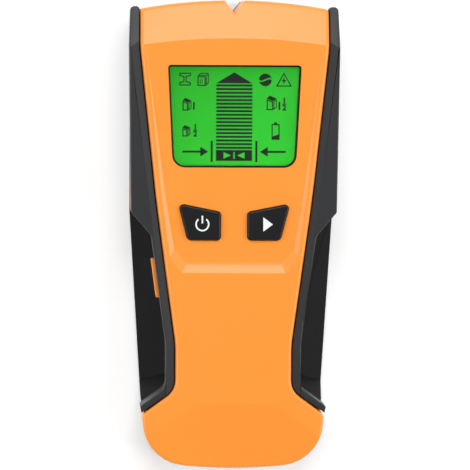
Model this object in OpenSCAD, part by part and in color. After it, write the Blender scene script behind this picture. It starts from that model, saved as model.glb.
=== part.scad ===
// Stud, metal and mains-wire finder with a backlit display.
// It lies on its back: +Z points out of the face, +Y towards the marking notch and +X to the right.
// The origin is under its middle, on the surface that its glide pads rest on.

/* [Overall] */
// Length from the bottom edge to the crown of the top edge
overall_len = 165; // [160:1:200]
// Width across the two grips
overall_wid = 74; // [73:1:90]
// Thickness from the glide pads to the face
overall_thk = 30; // [30:0.5:38]

/* [Face outline] */
// Width of a grip beside the top of the orange face
grip_tip_w = 3.9; // [3:0.1:6]
// Distance from the crown down to where the face starts to narrow
taper_start = 16.7; // [12:0.1:22]
// How far the face's narrowing sides bow out half way down
side_bow = 0.8; // [0:0.1:1]
// Half the width of the face at the waist
waist_half = 20.4; // [19.5:0.1:22]
// Distance from the bottom edge up to the top of the waist
waist_top = 44; // [40:0.5:50]
// Distance from the bottom edge up to where the waist flares out
flare_start = 27.8; // [26:0.1:32]
// Distance from the bottom edge up to the widest place of the bottom cap
cap_len = 19.4; // [18:0.1:22]
// Half the width of the bottom cap
cap_half = 31.9; // [29:0.1:36]
// Radius of the bottom corners
cap_corner_r = 16; // [10:0.5:18]
// Slope of the top edge where it meets the corners, in degrees
top_slope = 9.5; // [6:0.5:12]
// Slope of the bottom edge where it meets the corners, in degrees
bottom_slope = 6; // [5:0.1:12]

/* [Face relief] */
// Length of the sloped facet at the top, along the middle
top_facet_len = 13.3; // [8:0.1:16]
// Slope of the top facet, in degrees
top_facet_slope = 20; // [10:1:24]
// Radius of the crease above the display
top_crease_r = 219; // [150:1:300]
// Length of the sloped facet at the bottom, along the middle
bottom_facet_len = 23; // [18:0.5:26]
// Slope of the bottom facet, in degrees
bottom_facet_slope = 9; // [6:1:12]
// Half the width of the level middle of the bottom crease
bottom_crease_half = 13; // [8:0.5:16]
// Depth of the dished panel at its lower end: it starts level with the face
dish_depth = 1; // [0.6:0.1:1.4]
// Width of the raised rim beside the dished panel
dish_rim_w = 2; // [1.5:0.1:4]
// Slope of the dished panel's sides, in degrees
dish_side_slope = 25; // [15:1:40]
// Distance from the crown down to the top of the dished panel
dish_start = 16.5; // [15:0.5:18]
// Length of the dished panel, with the ramp at its lower end
dish_len = 79.4; // [76:0.1:82]
// Length of the ramp that ends the dished panel
dish_ramp_l = 3.5; // [2:0.1:5]
// Depth of the marking notch at the face
notch_depth = 5.2; // [4:0.1:6]
// Half the width of the marking notch at the face
notch_half_w = 4.1; // [3:0.1:5]
// How much shallower the notch is at the back
notch_lean = 2.6; // [1:0.1:3.5]

/* [Shells] */
// Side wall of both shells
wall = 2.2; // [1.8:0.1:2.6]
// Wall of the front shell behind the dished panel
face_wall = 2.4; // [2:0.1:3]
// Floor of the rear shell
rear_floor_t = 2; // [1.6:0.1:2.4]
// Height of the line where the two shells meet
split_h = 14; // [13:0.5:16]
// Thickness of the front shell's flange that carries the grips
flange_t = 1.6; // [1.2:0.1:2]
// Inset of the rear shell under the grips
rear_inset = 0.6; // [0.4:0.1:1]
// Height of the base lip along the finger recesses
lip_h = 3.4; // [3:0.1:4.5]
// Slope of the floor of the finger recesses, in degrees
recess_slope = 30; // [20:1:35]
// Slope of the wall that ends a finger recess under its hook, in degrees
recess_end_slope = 60; // [50:1:75]
// Overhang of the recess wall beyond the orange face
recess_wall_out = 1.9; // [1.5:0.1:2.4]
// Step of the sole inside the base lip
sole_step = 1.2; // [0.8:0.1:1.6]

/* [Grips] */
// Gap between a grip and the orange face
seam = 0.3; // [0.2:0.05:0.5]
// Width of the narrow band along the face
band_w = 3.1; // [2.6:0.1:4]
// Slope of that band towards the face, in degrees
band_slope = 10; // [4:1:14]
// Width of the hook at the band's lower end
hook_w = 2.5; // [2:0.1:3.2]
// How far the hook's tip reaches past the bottom cap
hook_reach = 0.8; // [0.4:0.1:1.5]
// Distance from the crown down to the end of the broad cheek
cheek_len = 74.4; // [68:0.1:80]
// How far the cheek narrows towards its lower end
cheek_taper = 0.8; // [0:0.1:1.5]
// Height of the face above the grips
grip_drop = 0.8; // [0.4:0.1:1.2]
// Wall of the hollow cheek
cheek_wall = 1.8; // [1.5:0.1:2]

/* [Display] */
// Distance from the crown down to the display opening
display_start = 22.7; // [22:0.1:26]
// Height of the display opening
display_h = 36; // [32:0.1:37]
// Half the width of the display opening at its top
display_top_half = 23.5; // [21:0.1:24]
// Half the width of the display opening at its bottom
display_bottom_half = 21.7; // [19:0.1:22.5]
// Thickness of the clear window
window_t = 1.4; // [1:0.1:1.6]
// Width of the ledge that the window lies on
window_ledge = 0.7; // [0.5:0.1:1.5]
// Thickness of the foam gasket
gasket_t = 1; // [0.6:0.1:1.5]
// Margin of the display glass around the opening
glass_margin = 2.4; // [2:0.1:2.6]
// Thickness of the display glass
glass_t = 2.2; // [1.8:0.1:2.6]
// Height of the display frame on its board
frame_h = 7; // [6.5:0.1:8]
// Wall of the display frame
frame_wall = 1.1; // [0.9:0.1:1.2]
// Width of a contact strip
strip_w = 2; // [1.5:0.1:2.2]

/* [Keys] */
// Distance from the crown down to the middle of the switches
key_start = 78; // [76:0.5:80]
// Half the distance between the two keys
key_inner = 4.8; // [4.5:0.1:6]
// Distance from the middle to a key's outer top corner
key_outer_top = 19.5; // [17:0.1:20]
// Distance from the middle to a key's outer bottom corner
key_outer_bottom = 16.2; // [14:0.1:17.5]
// Height of a key above its switch, at its inner side
key_up = 3.6; // [3:0.1:4]
// Rise of a key's top edge from its inner to its outer side
key_rise = 3; // [1:0.1:4]
// Depth of a key below its switch
key_down = 6.1; // [5:0.1:6.5]
// Gap around a key
key_gap = 0.25; // [0.15:0.05:0.4]
// Travel of the face keys
key_travel = 1; // [0.6:0.1:1.1]
// Height of a face key above the lower end of the dished panel
key_proud = 1.5; // [1.2:0.1:2]
// Distance from the middle to the switch under a face key
switch_x = 11.5; // [10:0.1:12.5]
// Side of a switch body
switch_side = 6; // [5.5:0.1:6.2]
// Radius of a switch plunger
plunger_r = 1.7; // [1.2:0.1:1.9]
// Clearance around a plunger in its switch
plunger_gap = 0.1; // [0.08:0.01:0.2]
// Distance from the crown down to the middle of the side key
scan_start = 97.8; // [96:0.1:99]
// Length of the side key
scan_len = 13.7; // [12:0.1:14.5]
// Height of the side key
scan_h = 6; // [5:0.1:6.2]
// Height of the side key above its grip
scan_proud = 1.2; // [1.1:0.1:1.6]
// Travel of the side key
scan_travel = 1; // [0.6:0.1:1.1]

/* [Boards] */
// Thickness of both boards
board_t = 1.6; // [1.2:0.2:1.8]
// Gap between the main board and the shell
board_gap = 1.2; // [1:0.1:1.5]
// Length of the sensor board
sensor_len = 60; // [56:0.5:61]
// Half the width of the sensor board
sensor_half = 29; // [27:0.1:30]
// Height of the sensor board above the floor
sensor_lift = 1.2; // [1.1:0.1:1.5]
// Outer radius of the search coil's bobbin
bobbin_r = 21; // [18:0.5:21.5]
// Height of the bobbin
bobbin_h = 5; // [4:0.1:5.5]

/* [Battery] */
// Width of the 9 V block
battery_w = 26.5; // [26:0.1:26.5]
// Thickness of the 9 V block
battery_t = 17.5; // [16.5:0.1:17.5]
// Length of the 9 V block
battery_l = 48.5; // [47:0.1:48.5]
// Height of its snap terminals
terminal_h = 3; // [2.8:0.1:3.1]
// Clearance around the battery
bay_gap = 0.5; // [0.4:0.1:0.6]
// Wall of the battery box
box_wall = 1.6; // [1.2:0.1:1.8]
// Distance from the bottom edge to the battery bay
bay_end = 6; // [5.7:0.1:6.4]
// Thickness of the foam pad above the battery
foam_t = 1.5; // [1:0.1:2]
// Thickness of the snap connector
snap_t = 2.4; // [2:0.1:2.8]

/* [Door] */
// Ledge that the door closes against
door_ledge = 1.2; // [1:0.1:1.4]
// Gap around the door
door_gap = 0.3; // [0.2:0.05:0.4]
// Radius of the hinge knuckles
knuckle_r = 2; // [1.8:0.1:2.2]
// Radius of the hinge pin
pin_r = 0.8; // [0.7:0.05:1]
// Running clearance of the hinge pin
pin_gap = 0.05; // [0.03:0.01:0.08]
// Width of a hinge knuckle
knuckle_w = 5; // [4:0.1:5.5]

/* [Fasteners and pads] */
// Thickness of the felt glide pads
pad_t = 0.8; // [0.6:0.1:1.2]
// Radius of a case screw's shank
screw_r = 1.45; // [1.2:0.05:1.5]
// Radius of a case screw's head
screw_head_r = 2.7; // [2.4:0.1:2.8]
// Radius of a screw boss
boss_r = 3.4; // [3.3:0.1:3.6]
// Radius of a board screw's shank
small_screw_r = 1; // [0.8:0.05:1.1]
// Clearance of a screw in its pilot hole
thread_gap = 0.05; // [0.02:0.01:0.1]

/* [Hidden] */
$fn = 48;

face_orange = "#ff9e47";
grip_grey = "#3a3b3d";
shell_black = "#1e1e1f";
key_black = "#1b1c1e";

// ---- Heights ----
z_sole = pad_t;
z_floor = z_sole + rear_floor_t;
z_split = split_h;
z_flange = z_split + flange_t;
z_face = overall_thk;
z_dish = z_face - dish_depth;
z_ceiling = z_dish - face_wall;
z_grip = z_face - grip_drop;
z_frame = z_ceiling - gasket_t;
frame_lip = 0.4;
z_glass = z_frame - frame_lip - glass_t;
z_board = z_frame - frame_h;
z_board_under = z_board - board_t;
z_sensor = z_floor + sensor_lift;
z_sensor_top = z_sensor + board_t;
over = 1;                       // how far a cut runs past the face it opens

// ---- Outlines ----
// A corner is [x, y, radius]. An outline runs clockwise from the top of the middle line.
top_y = overall_len / 2;
bottom_y = -overall_len / 2;
face_top_half = overall_wid / 2 - grip_tip_w;
head_half = overall_wid / 2 - rear_inset;
rear_cap_half = cap_half - 0.3;
rear_end_inset = 0.3;
taper_top_y = top_y - taper_start;
waist_top_y = bottom_y + waist_top;
flare_y = bottom_y + flare_start;
shoulder_y = bottom_y + cap_len;
cheek_end_y = top_y - cheek_len;
belly_y = (taper_top_y + waist_top_y) / 2;
belly_half = (face_top_half + waist_half) / 2 + side_bow;
flare_slope = (shoulder_y - flare_y) / (cap_half - waist_half);
top_corner_r = 1.5;
soft_corner_r = 25;
belly_r = 600;
flare_r = 7;
arc_step = 12;                  // largest turn between two points of a round, in degrees
arc_chord = 4;                  // largest distance between two points of a round

// Height of the dished panel's floor, which slopes down from the level of the face
function dish_z(y) =
    z_face - dish_depth * (dish_top_y - y) / (dish_len - dish_ramp_l);

// Half the width of the orange face where it tapers
function face_half(y) = y > belly_y
    ? belly_half + (y - belly_y) * (face_top_half - belly_half) / (taper_top_y - belly_y)
    : waist_half + (y - waist_top_y) * (belly_half - waist_half) / (belly_y - waist_top_y);

// Height of the flare's line at x, moved out by a distance
function flare_line(x, out) =
    flare_y + (x - waist_half) * flare_slope + out * norm([1, flare_slope]);

function unit(v) = v / norm(v);
function cross2(a, b) = a[0] * b[1] - a[1] * b[0];
function flat(p) = [p[0], p[1]];
function left_of(v) = [-v[1], v[0]];

// Points of the round at corner b, between its neighbours a and c
function corner_points(a, b, c) =
    let (
        u = unit(flat(a) - flat(b)),
        v = unit(flat(c) - flat(b)),
        half_angle = acos(u * v) / 2,
        turn = 180 - 2 * half_angle,
        centre = flat(b) + unit(u + v) * b[2] / sin(half_angle),
        first = flat(b) + u * b[2] / tan(half_angle) - centre,
        start = atan2(first[1], first[0]),
        way = -sign(cross2(u, v)),
        steps = ceil(max(turn / arc_step, turn * PI / 180 * b[2] / arc_chord))
    )
    [for (i = [0 : steps])
        let (angle = start + way * turn * i / steps)
        centre + b[2] * [cos(angle), sin(angle)]];

// A closed outline with all its corners rounded
function rounded(corners) =
    let (n = len(corners))
    [for (i = [0 : n - 1])
        each corner_points(corners[(i + n - 1) % n], corners[i], corners[(i + 1) % n])];

// The same corners moved out by a distance, or in where it is negative
function grown(corners, out) =
    let (n = len(corners), least_r = 0.2)
    [for (i = [0 : n - 1])
        let (
            b = corners[i],
            ahead = unit(flat(corners[(i + 1) % n]) - flat(b)),
            behind = unit(flat(b) - flat(corners[(i + n - 1) % n])),
            normals = left_of(ahead) + left_of(behind),
            place = flat(b) + out * normals / (1 + left_of(ahead) * left_of(behind)),
            bulge = -sign(cross2(behind, ahead))
        )
        [place[0], place[1], max(b[2] + bulge * out, least_r)]];

// Both halves of an outline whose first and last corners lie on the middle line
function both_sides(right) =
    concat(right, [for (i = [len(right) - 2 : -1 : 1]) [-right[i][0], right[i][1], right[i][2]]]);

// An end's edge is an arc that meets its corners at a slope
arc_share = 0.94;               // share of the edge that the arc takes, so that walls can be set in
function end_r(half, corner_r, slope) =
    arc_share * (half / cos(slope) - corner_r * tan((90 - slope) / 2)) / tan(slope);
function apex_rise(half, corner_r, slope) = end_r(half, corner_r, slope) * (1 / cos(slope) - 1);
function apex(half, corner_r, slope, crown) =
    [0, crown + apex_rise(half, corner_r, slope), end_r(half, corner_r, slope)];
function end_corner(half, corner_r, slope, crown) =
    [half, crown + apex_rise(half, corner_r, slope) - half * tan(slope), corner_r];
function upside_down(corner) = [corner[0], -corner[1], corner[2]];

face_corners = both_sides([
    apex(face_top_half, top_corner_r, top_slope, top_y),
    end_corner(face_top_half, top_corner_r, top_slope, top_y),
    [face_top_half, taper_top_y, soft_corner_r],
    [belly_half, belly_y, belly_r],
    [waist_half, waist_top_y, soft_corner_r],
    [waist_half, flare_y, flare_r],
    [cap_half, shoulder_y, 2],
    upside_down(end_corner(cap_half, cap_corner_r, bottom_slope, -bottom_y)),
    upside_down(apex(cap_half, cap_corner_r, bottom_slope, -bottom_y))
]);

head_corner_r = 3;
hook_back = 0.6;                // the rear shell stays this far behind the hook's edge
cheek_foot_y = cheek_end_y - 8.3;
hook_foot = flare_line(rear_cap_half, seam + hook_w - hook_back);

// The walls under the flange: as broad as the grips, narrow at the finger recesses
wall_corners = both_sides([
    apex(head_half, head_corner_r, top_slope, top_y - rear_end_inset),
    end_corner(head_half, head_corner_r, top_slope, top_y - rear_end_inset),
    [head_half, cheek_end_y, 2],
    [face_half(cheek_foot_y) + recess_wall_out, cheek_foot_y, 5],
    [waist_half + recess_wall_out, waist_top_y, soft_corner_r],
    [waist_half + recess_wall_out,
     flare_line(waist_half + recess_wall_out, seam + hook_w - hook_back), 4],
    [rear_cap_half, hook_foot, 1],
    upside_down(end_corner(rear_cap_half, cap_corner_r, bottom_slope, -bottom_y - rear_end_inset)),
    upside_down(apex(rear_cap_half, cap_corner_r, bottom_slope, -bottom_y - rear_end_inset))
]);

// The base lip: it bridges the finger recesses
lip_low = [cap_half + 0.3, hook_foot + 1];
base_corners = both_sides([
    wall_corners[0],
    wall_corners[1],
    [head_half, cheek_end_y, 20],
    [lip_low[0], lip_low[1], 3],
    [rear_cap_half, shoulder_y, 3],
    wall_corners[7],
    wall_corners[8]
]);

tip_y = top_y - 2.2;
cheek_top_y = taper_top_y + 0.5;
tip_half = overall_wid / 2 - 0.4;
band_half_out = seam + band_w;
hook_tip = cap_half + hook_reach;
hook_bend = waist_half + band_half_out;
grip_corners = [
    [face_top_half + seam, tip_y, 1.2],
    [tip_half, tip_y, 1.5],
    [overall_wid / 2, cheek_top_y, 10],
    [overall_wid / 2 - cheek_taper, cheek_end_y, 1.5],
    [face_half(cheek_foot_y) + band_half_out, cheek_foot_y, 5],
    [waist_half + band_half_out, waist_top_y, soft_corner_r],
    [hook_bend, flare_line(hook_bend, seam + hook_w), 4],
    [hook_tip, flare_line(hook_tip, seam + hook_w), 0.9],
    [hook_tip, flare_line(hook_tip, seam), 0.6],
    [waist_half + seam, flare_line(waist_half + seam, seam), flare_r - seam],
    [waist_half + seam, waist_top_y, soft_corner_r],
    [belly_half + seam, belly_y, belly_r],
    [face_top_half + seam, taper_top_y, soft_corner_r]
];

dish_top_y = top_y - dish_start;
dish_end_y = dish_top_y - dish_len;
dish_side = [
    [face_top_half - dish_rim_w, taper_top_y],
    [belly_half - dish_rim_w, belly_y],
    [waist_half - dish_rim_w, waist_top_y]
];
dish_corner_cut = [3.5, 4.5];     // how far its lower corners are cut off, along X and Y
dish_foot = [face_half(dish_end_y) - dish_rim_w - dish_corner_cut[0], dish_end_y];
dish_turn = dish_foot + dish_corner_cut;

// The bottom crease: level in the middle, with two slants to each side
crease_y = bottom_y + bottom_facet_len;
crease_bend = [bottom_crease_half, crease_y];
crease_turn = crease_bend + [9, -5.2];
crease_end = crease_turn + [7.6, -5.7];

display_top_y = top_y - display_start;
display_bottom_y = display_top_y - display_h;
window_sink = 0.2;
z_window = dish_z(display_bottom_y) - window_sink - window_t;
display_corners = [
    [-display_top_half, display_top_y, 1.2],
    [display_top_half, display_top_y, 1.2],
    [display_bottom_half, display_bottom_y, 4.6],
    [-display_bottom_half, display_bottom_y, 4.6]
];

// A prism on a rounded outline, from one height to another
module prism(corners, from, to) {
    translate([0, 0, from])
        linear_extrude(to - from) polygon(rounded(corners));
}

// A block given by its lowest and highest corners
module block(low, high) {
    translate(low) cube(high - low);
}

module both() {
    children();
    mirror([1, 0, 0]) children();
}

// A square-edged ring
module ring(outer_r, inner_r, height) {
    difference() {
        cylinder(r = outer_r, h = height);
        translate([0, 0, -over]) cylinder(r = inner_r, h = height + 2 * over);
    }
}

// ---- Cuts that both shells share ----
// A wide cone: its side is the sloped top facet, lowered by a drop, and the body lies inside it
module under_top_facet(drop) {
    spare = 3;
    height = z_face - drop;
    translate([0, top_y - top_facet_len - top_crease_r, -spare])
        cylinder(
            r1 = top_crease_r + (height + spare) / tan(top_facet_slope),
            r2 = top_crease_r - spare / tan(top_facet_slope),
            h = height + 2 * spare
        );
}

// What lies above a plane that holds the level line from a to b at height z and falls to its left
module above_plane(a, b, z, fall) {
    way = b - a;
    translate([a[0], a[1], z])
        rotate([0, 0, atan2(way[1], way[0])])
            rotate([-fall, 0, 0])
                translate([-overall_len, -overall_len, 0]) cube(2 * overall_len);
}

// What lies above the shallow dish of the bottom cap, lowered by a drop
module above_bottom_facet(drop) {
    z = z_face - drop;
    mirrored_inside() {
        above_plane([0, crease_y], [-1, crease_y], z, bottom_facet_slope);
        above_plane(crease_turn, crease_bend, z, bottom_facet_slope);
        above_plane(crease_end, crease_turn, z, bottom_facet_slope);
    }
}

// The dished panel: a floor that starts level with the face, sloped sides and a ramp at its end
module dish_cut() {
    floor_slope = atan(dish_depth / (dish_len - dish_ramp_l));
    ramp_slope = atan(dish_depth / dish_ramp_l);
    mirrored_inside() {
        above_plane([0, dish_top_y], [-1, dish_top_y], z_face, floor_slope);
        above_plane([0, dish_end_y], [1, dish_end_y], z_face, ramp_slope);
        above_plane(dish_foot, dish_turn, z_face, ramp_slope);
        above_plane(dish_side[1], dish_side[0], z_face, dish_side_slope);
        above_plane(dish_side[2], dish_side[1], z_face, dish_side_slope);
    }
}

// What lies inside all of its children and all of their mirror images
module mirrored_inside() {
    intersection() {
        intersection_for(i = [0 : $children - 1]) children(i);
        mirror([1, 0, 0]) intersection_for(i = [0 : $children - 1]) children(i);
    }
}

// The notch's two sides, from its apex out past the crown
module notch_outline() {
    reach = 14;
    spread = notch_half_w / notch_depth * reach;
    polygon([[0, 0], [spread, reach], [-spread, reach]]);
}

// The marking notch leans, so that it is deeper at the face
module notch_cut(back_off) {
    lean = atan(notch_lean / (z_face - z_sole));
    translate([0, top_y - notch_depth - back_off, z_face])
        rotate([lean, 0, 0])
            translate([0, 0, -2 * z_face])
                linear_extrude(3 * z_face) notch_outline();
}

// Below the split the notch goes straight down, just behind the front shell's wall
module rear_notch_cut(back_off) {
    split_share = (z_face - z_split) / (z_face - z_sole);
    apex_y = top_y - notch_depth + notch_lean * split_share - rear_notch_step;
    translate([0, apex_y - back_off, -z_face]) linear_extrude(3 * z_face) notch_outline();
}

notch_wall_back = wall * norm([notch_half_w, notch_depth]) / notch_half_w;
rear_notch_step = 0.15;             // how far the rear shell's notch stands back

screw_from_end = [9, 14.5];
screw_x = [22, 22.5];
screw_spots = [
    [screw_x[0], top_y - screw_from_end[0]], [-screw_x[0], top_y - screw_from_end[0]],
    [screw_x[1], bottom_y + screw_from_end[1]], [-screw_x[1], bottom_y + screw_from_end[1]]
];
screw_head_h = 2.2;
z_screw_head = z_sole + 0.5;
z_screw_seat = z_screw_head + screw_head_h;
screw_tip_z = z_split + 6.5;

// ---- Display, boards and keys: shared places ----
glass_half = display_top_half + 1;
glass_top_y = display_top_y + glass_margin;
glass_bottom_y = display_bottom_y - glass_margin;
glass_fit = 0.1;
frame_half = glass_half + frame_wall + glass_fit;
frame_gap = 0.2;                // the frame stays this far inside the shell's wall
frame_top_y = glass_top_y + frame_wall + glass_fit;
frame_bottom_y = glass_bottom_y - frame_wall - glass_fit;

key_y = top_y - key_start;
scan_y = top_y - scan_start;
scan_switch_y = scan_y + 3;
scan_z = z_board + 0.9 + scan_h / 2;
scan_switch_depth = 5;
scan_switch_back = 3.8;         // from the shell's inner face to the switch's front
flange_gap = 0.3;
flange_w = 1;
stem_r = 2;
stem_gap = 0.2;                 // what is left between a stem and its switch when pressed
switch_h = 3.8;
z_switch = z_board + switch_h;
z_skirt_top = z_ceiling - flange_gap;
z_skirt = z_skirt_top - flange_w;
z_stem = z_switch + stem_gap + key_travel;
plunger_in = 2.2;

board_top_y = frame_top_y + 6.2;
board_bottom_y = scan_switch_y - 4.2;
board_inset = wall + board_gap;
small_boss_r = 2.3;
small_head_r = 2.2;
small_head_h = 1.6;
board_screw_spots = [
    [24.5, board_top_y - 3.1], [-24.5, board_top_y - 3.1],
    [20.5, frame_bottom_y - 5.2], [-20.5, frame_bottom_y - 5.2],
    [0, board_bottom_y + 4]
];

sensor_top_y = top_y - 13.5;
sensor_bottom_y = sensor_top_y - sensor_len;
post_spots = [for (x = [-1, 1]) for (y = [sensor_bottom_y + 4, sensor_top_y - 4])
    [x * (sensor_half - 3.5), y]];
post_r = 2.4;
coil_y = (sensor_top_y + sensor_bottom_y) / 2 + 1;

link_y = key_y + 8;
link_pitch = 2.54;
link_pins_n = 6;
link_pin_r = 0.32;
link_hole_r = 0.4;
link_socket_h = 8.4;
link_header_h = 2.5;
link_half = [link_pins_n * link_pitch / 2 + 0.3, 1.25];

// ---- Battery and door: shared places ----
bay_half = battery_w / 2 + bay_gap;
bay_low_y = bottom_y + bay_end;
battery_y = bay_low_y + bay_gap;
battery_top_y = battery_y + battery_l;
snap_y = battery_top_y + terminal_h;
lead_room = 2.2;
bay_high_y = snap_y + snap_t + lead_room;
door_rib_h = 0.4;
rib_gap = 0.2;
z_battery = z_floor + door_rib_h + rib_gap;
battery_mid_z = z_battery + battery_t / 2;
z_bay_top = z_battery + battery_t + foam_t;
lead_x = 4;
lead_r = 0.7;

hinge_y = bay_high_y + box_wall + knuckle_r + 0.4;
hinge_z = z_floor + 0.2;
hinge_swing = 2.8;              // from the pin to the edge of the floor
door_half = bay_half + door_ledge - door_gap;
door_low_y = bay_low_y - 1 + door_gap;
door_top = z_floor - 0.1;
door_cut_y = hinge_y - knuckle_r - 0.4;
knuckle_gap = 0.3;
middle_ear_half = 4.7;
door_knuckle_x = middle_ear_half + knuckle_gap;
outer_ear_x = door_knuckle_x + knuckle_w + knuckle_gap;
outer_ear_w = 3;

buzzer_spot = [10, key_y - 9];

// ---- Casing ----
module front_shell() {
    color(face_orange)
    difference() {
        union() {
            difference() {
                union() {
                    intersection() {
                        prism(face_corners, z_split, z_face);
                        under_top_facet(0);
                    }
                    prism(wall_corners, z_split, z_flange);
                }
                prism(grown(face_corners, -wall), z_split - over, z_flange);
                difference() {
                    intersection() {
                        prism(grown(face_corners, -wall), z_flange - over, z_ceiling);
                        under_top_facet(z_face - z_ceiling);
                    }
                    above_bottom_facet(z_face - z_ceiling);
                }
            }
            // wall around the marking notch
            intersection() {
                prism(face_corners, z_split, z_face);
                under_top_facet(0);
                notch_cut(notch_wall_back);
            }
            for (spot = screw_spots)
                translate([spot[0], spot[1], z_split]) cylinder(r = boss_r, h = z_ceiling - z_split);
            for (spot = board_screw_spots)
                translate([spot[0], spot[1], z_board])
                    cylinder(r = small_boss_r, h = z_ceiling - z_board + over);
        }
        above_bottom_facet(0);
        notch_cut(0);
        dish_cut();
        prism(display_corners, z_window, z_face + over);
        prism(grown(display_corners, -window_ledge), z_ceiling - over, z_face);
        both() prism(grown(key_corners, key_gap), z_ceiling - over, z_face + over);
        scan_slot(key_gap);
        for (spot = screw_spots)
            translate([spot[0], spot[1], z_split - over])
                cylinder(r = screw_r + thread_gap, h = screw_tip_z + 1 - z_split + over);
        for (spot = board_screw_spots)
            translate([spot[0], spot[1], z_board - over])
                cylinder(r = small_screw_r + thread_gap, h = 7);
    }
}

// What lies above the sloping floor of the right finger recess, lowered by a drop
module above_recess_floor(drop) {
    above_plane(lip_low, [head_half, cheek_end_y], lip_h - drop, -recess_slope);
}

// What lies above the wall that ends the right finger recess under its hook
module above_recess_end() {
    out = seam + hook_w - hook_back;
    above_plane([waist_half, flare_line(waist_half, out)], [cap_half, flare_line(cap_half, out)],
                z_split, recess_end_slope);
}

module rear_body() {
    difference() {
        union() {
            prism(base_corners, z_sole + sole_step, z_split);
            prism(grown(base_corners, -sole_step), z_sole, z_split);
        }
        both() intersection() {
            difference() {
                block([0, hook_foot - 4, z_sole], [overall_wid, cheek_end_y + 2, z_split + over]);
                prism(wall_corners, 0, z_split + 2 * over);
            }
            above_recess_floor(0);
            above_recess_end();
        }
    }
}

module rear_cavity() {
    prism(grown(wall_corners, -wall), z_floor, z_split + over);
    both() difference() {
        intersection() {
            prism(grown(base_corners, -wall), z_floor, z_split - over);
            block([0, hook_foot + wall, 0], [overall_wid, cheek_end_y - wall, z_split]);
        }
        above_recess_floor(wall / cos(recess_slope));
    }
}

module hinge_ears() {
    spans = [
        [-middle_ear_half, middle_ear_half],
        [outer_ear_x, outer_ear_x + outer_ear_w],
        [-outer_ear_x - outer_ear_w, -outer_ear_x]
    ];
    for (span = spans) {
        translate([span[0], hinge_y, hinge_z])
            rotate([0, 90, 0]) cylinder(r = knuckle_r, h = span[1] - span[0]);
        block([span[0], bay_high_y + box_wall / 2, hinge_z], [span[1], hinge_y, hinge_z + knuckle_r]);
    }
}

module rear_shell() {
    lead_slot = [lead_x + 2, 2];
    box_clearance = 0.3;
    color(shell_black)
    difference() {
        union() {
            difference() {
                rear_body();
                rear_cavity();
            }
            // the battery box keeps clear of the front shell's sloped ceiling
            difference() {
                block([-bay_half - box_wall, bay_low_y - box_wall, z_floor - over],
                      [bay_half + box_wall, bay_high_y + box_wall, z_bay_top + box_wall]);
                above_bottom_facet(z_face - z_ceiling + box_clearance);
            }
            intersection() {
                rear_body();
                rear_notch_cut(notch_wall_back);
            }
            for (spot = screw_spots)
                translate([spot[0], spot[1], z_floor - over])
                    cylinder(r = boss_r, h = z_split - z_floor + over);
            for (spot = post_spots)
                translate([spot[0], spot[1], z_floor - over]) cylinder(r = post_r, h = sensor_lift + over);
        }
        rear_notch_cut(0);
        // battery bay, with the door's opening in the floor
        block([-bay_half, bay_low_y, -over], [bay_half, bay_high_y, z_bay_top]);
        block([-bay_half - door_ledge, bay_low_y - 1, -over],
              [bay_half + door_ledge, hinge_y + hinge_swing, z_floor]);
        block([-door_half, bay_high_y + box_wall, z_floor - over],
              [door_half, hinge_y + hinge_swing, z_floor + over]);
        // snap pocket in the end wall
        block([-snap_tongue_half - 0.4, bay_low_y - 1, z_floor - over],
              [snap_tongue_half + 0.4, bay_low_y + over, z_floor + 1.8]);
        block([-lead_slot[0], bay_high_y - over, battery_mid_z - lead_slot[1]],
              [lead_slot[0], bay_high_y + box_wall + over, battery_mid_z + lead_slot[1]]);
        for (spot = screw_spots) {
            translate([spot[0], spot[1], -over]) cylinder(r = screw_head_r + 0.2, h = z_screw_seat + over);
            translate([spot[0], spot[1], 0]) cylinder(r = screw_r + 0.2, h = z_split + over);
        }
        for (spot = post_spots)
            translate([spot[0], spot[1], z_floor - 1.2])
                cylinder(r = small_screw_r + thread_gap, h = sensor_lift + 2);
        for (angle = [0 : 60 : 300])
            translate([buzzer_spot[0], buzzer_spot[1], -over]) rotate(angle)
                translate([3, 0, 0]) cylinder(r = 0.7, h = z_floor + 2 * over);
    }
    color(shell_black)
    difference() {
        hinge_ears();
        hinge_bore();
    }
}

module hinge_bore() {
    translate([-overall_wid / 2, hinge_y, hinge_z])
        rotate([0, 90, 0]) cylinder(r = pin_r + pin_gap, h = overall_wid);
}

module grip() {
    pocket_top_y = taper_top_y - 20;
    pocket_low_y = cheek_end_y + 3;
    pocket = [
        [face_half(pocket_low_y) + seam + cheek_wall, pocket_low_y, 0.8],
        [face_half(pocket_top_y) + seam + cheek_wall, pocket_top_y, 0.8],
        [overall_wid / 2 - cheek_wall, pocket_top_y, 0.8],
        [overall_wid / 2 - cheek_taper - cheek_wall, pocket_low_y, 0.8]
    ];
    difference() {
        intersection() {
            prism(grip_corners, z_flange, z_grip);
            under_top_facet(grip_drop);
        }
        prism(pocket, z_flange - over, z_grip - 3);
        above_band();
    }
}

// What lies above the band beside the face, which slopes down towards it
module above_band() {
    line = [
        [face_top_half + band_half_out, taper_top_y],
        [belly_half + band_half_out, belly_y],
        [waist_half + band_half_out, waist_top_y],
        [waist_half + band_half_out, flare_y]
    ];
    intersection() {
        above_plane(line[1], line[0], z_grip, band_slope);
        above_plane(line[2], line[1], z_grip, band_slope);
    }
    above_plane(line[3], line[2], z_grip, band_slope);
}

module right_grip() {
    color(grip_grey) grip();
}

module left_grip() {
    color(grip_grey)
    difference() {
        mirror([1, 0, 0]) grip();
        scan_slot(key_gap);
    }
}

snap_tongue_half = 5;

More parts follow.
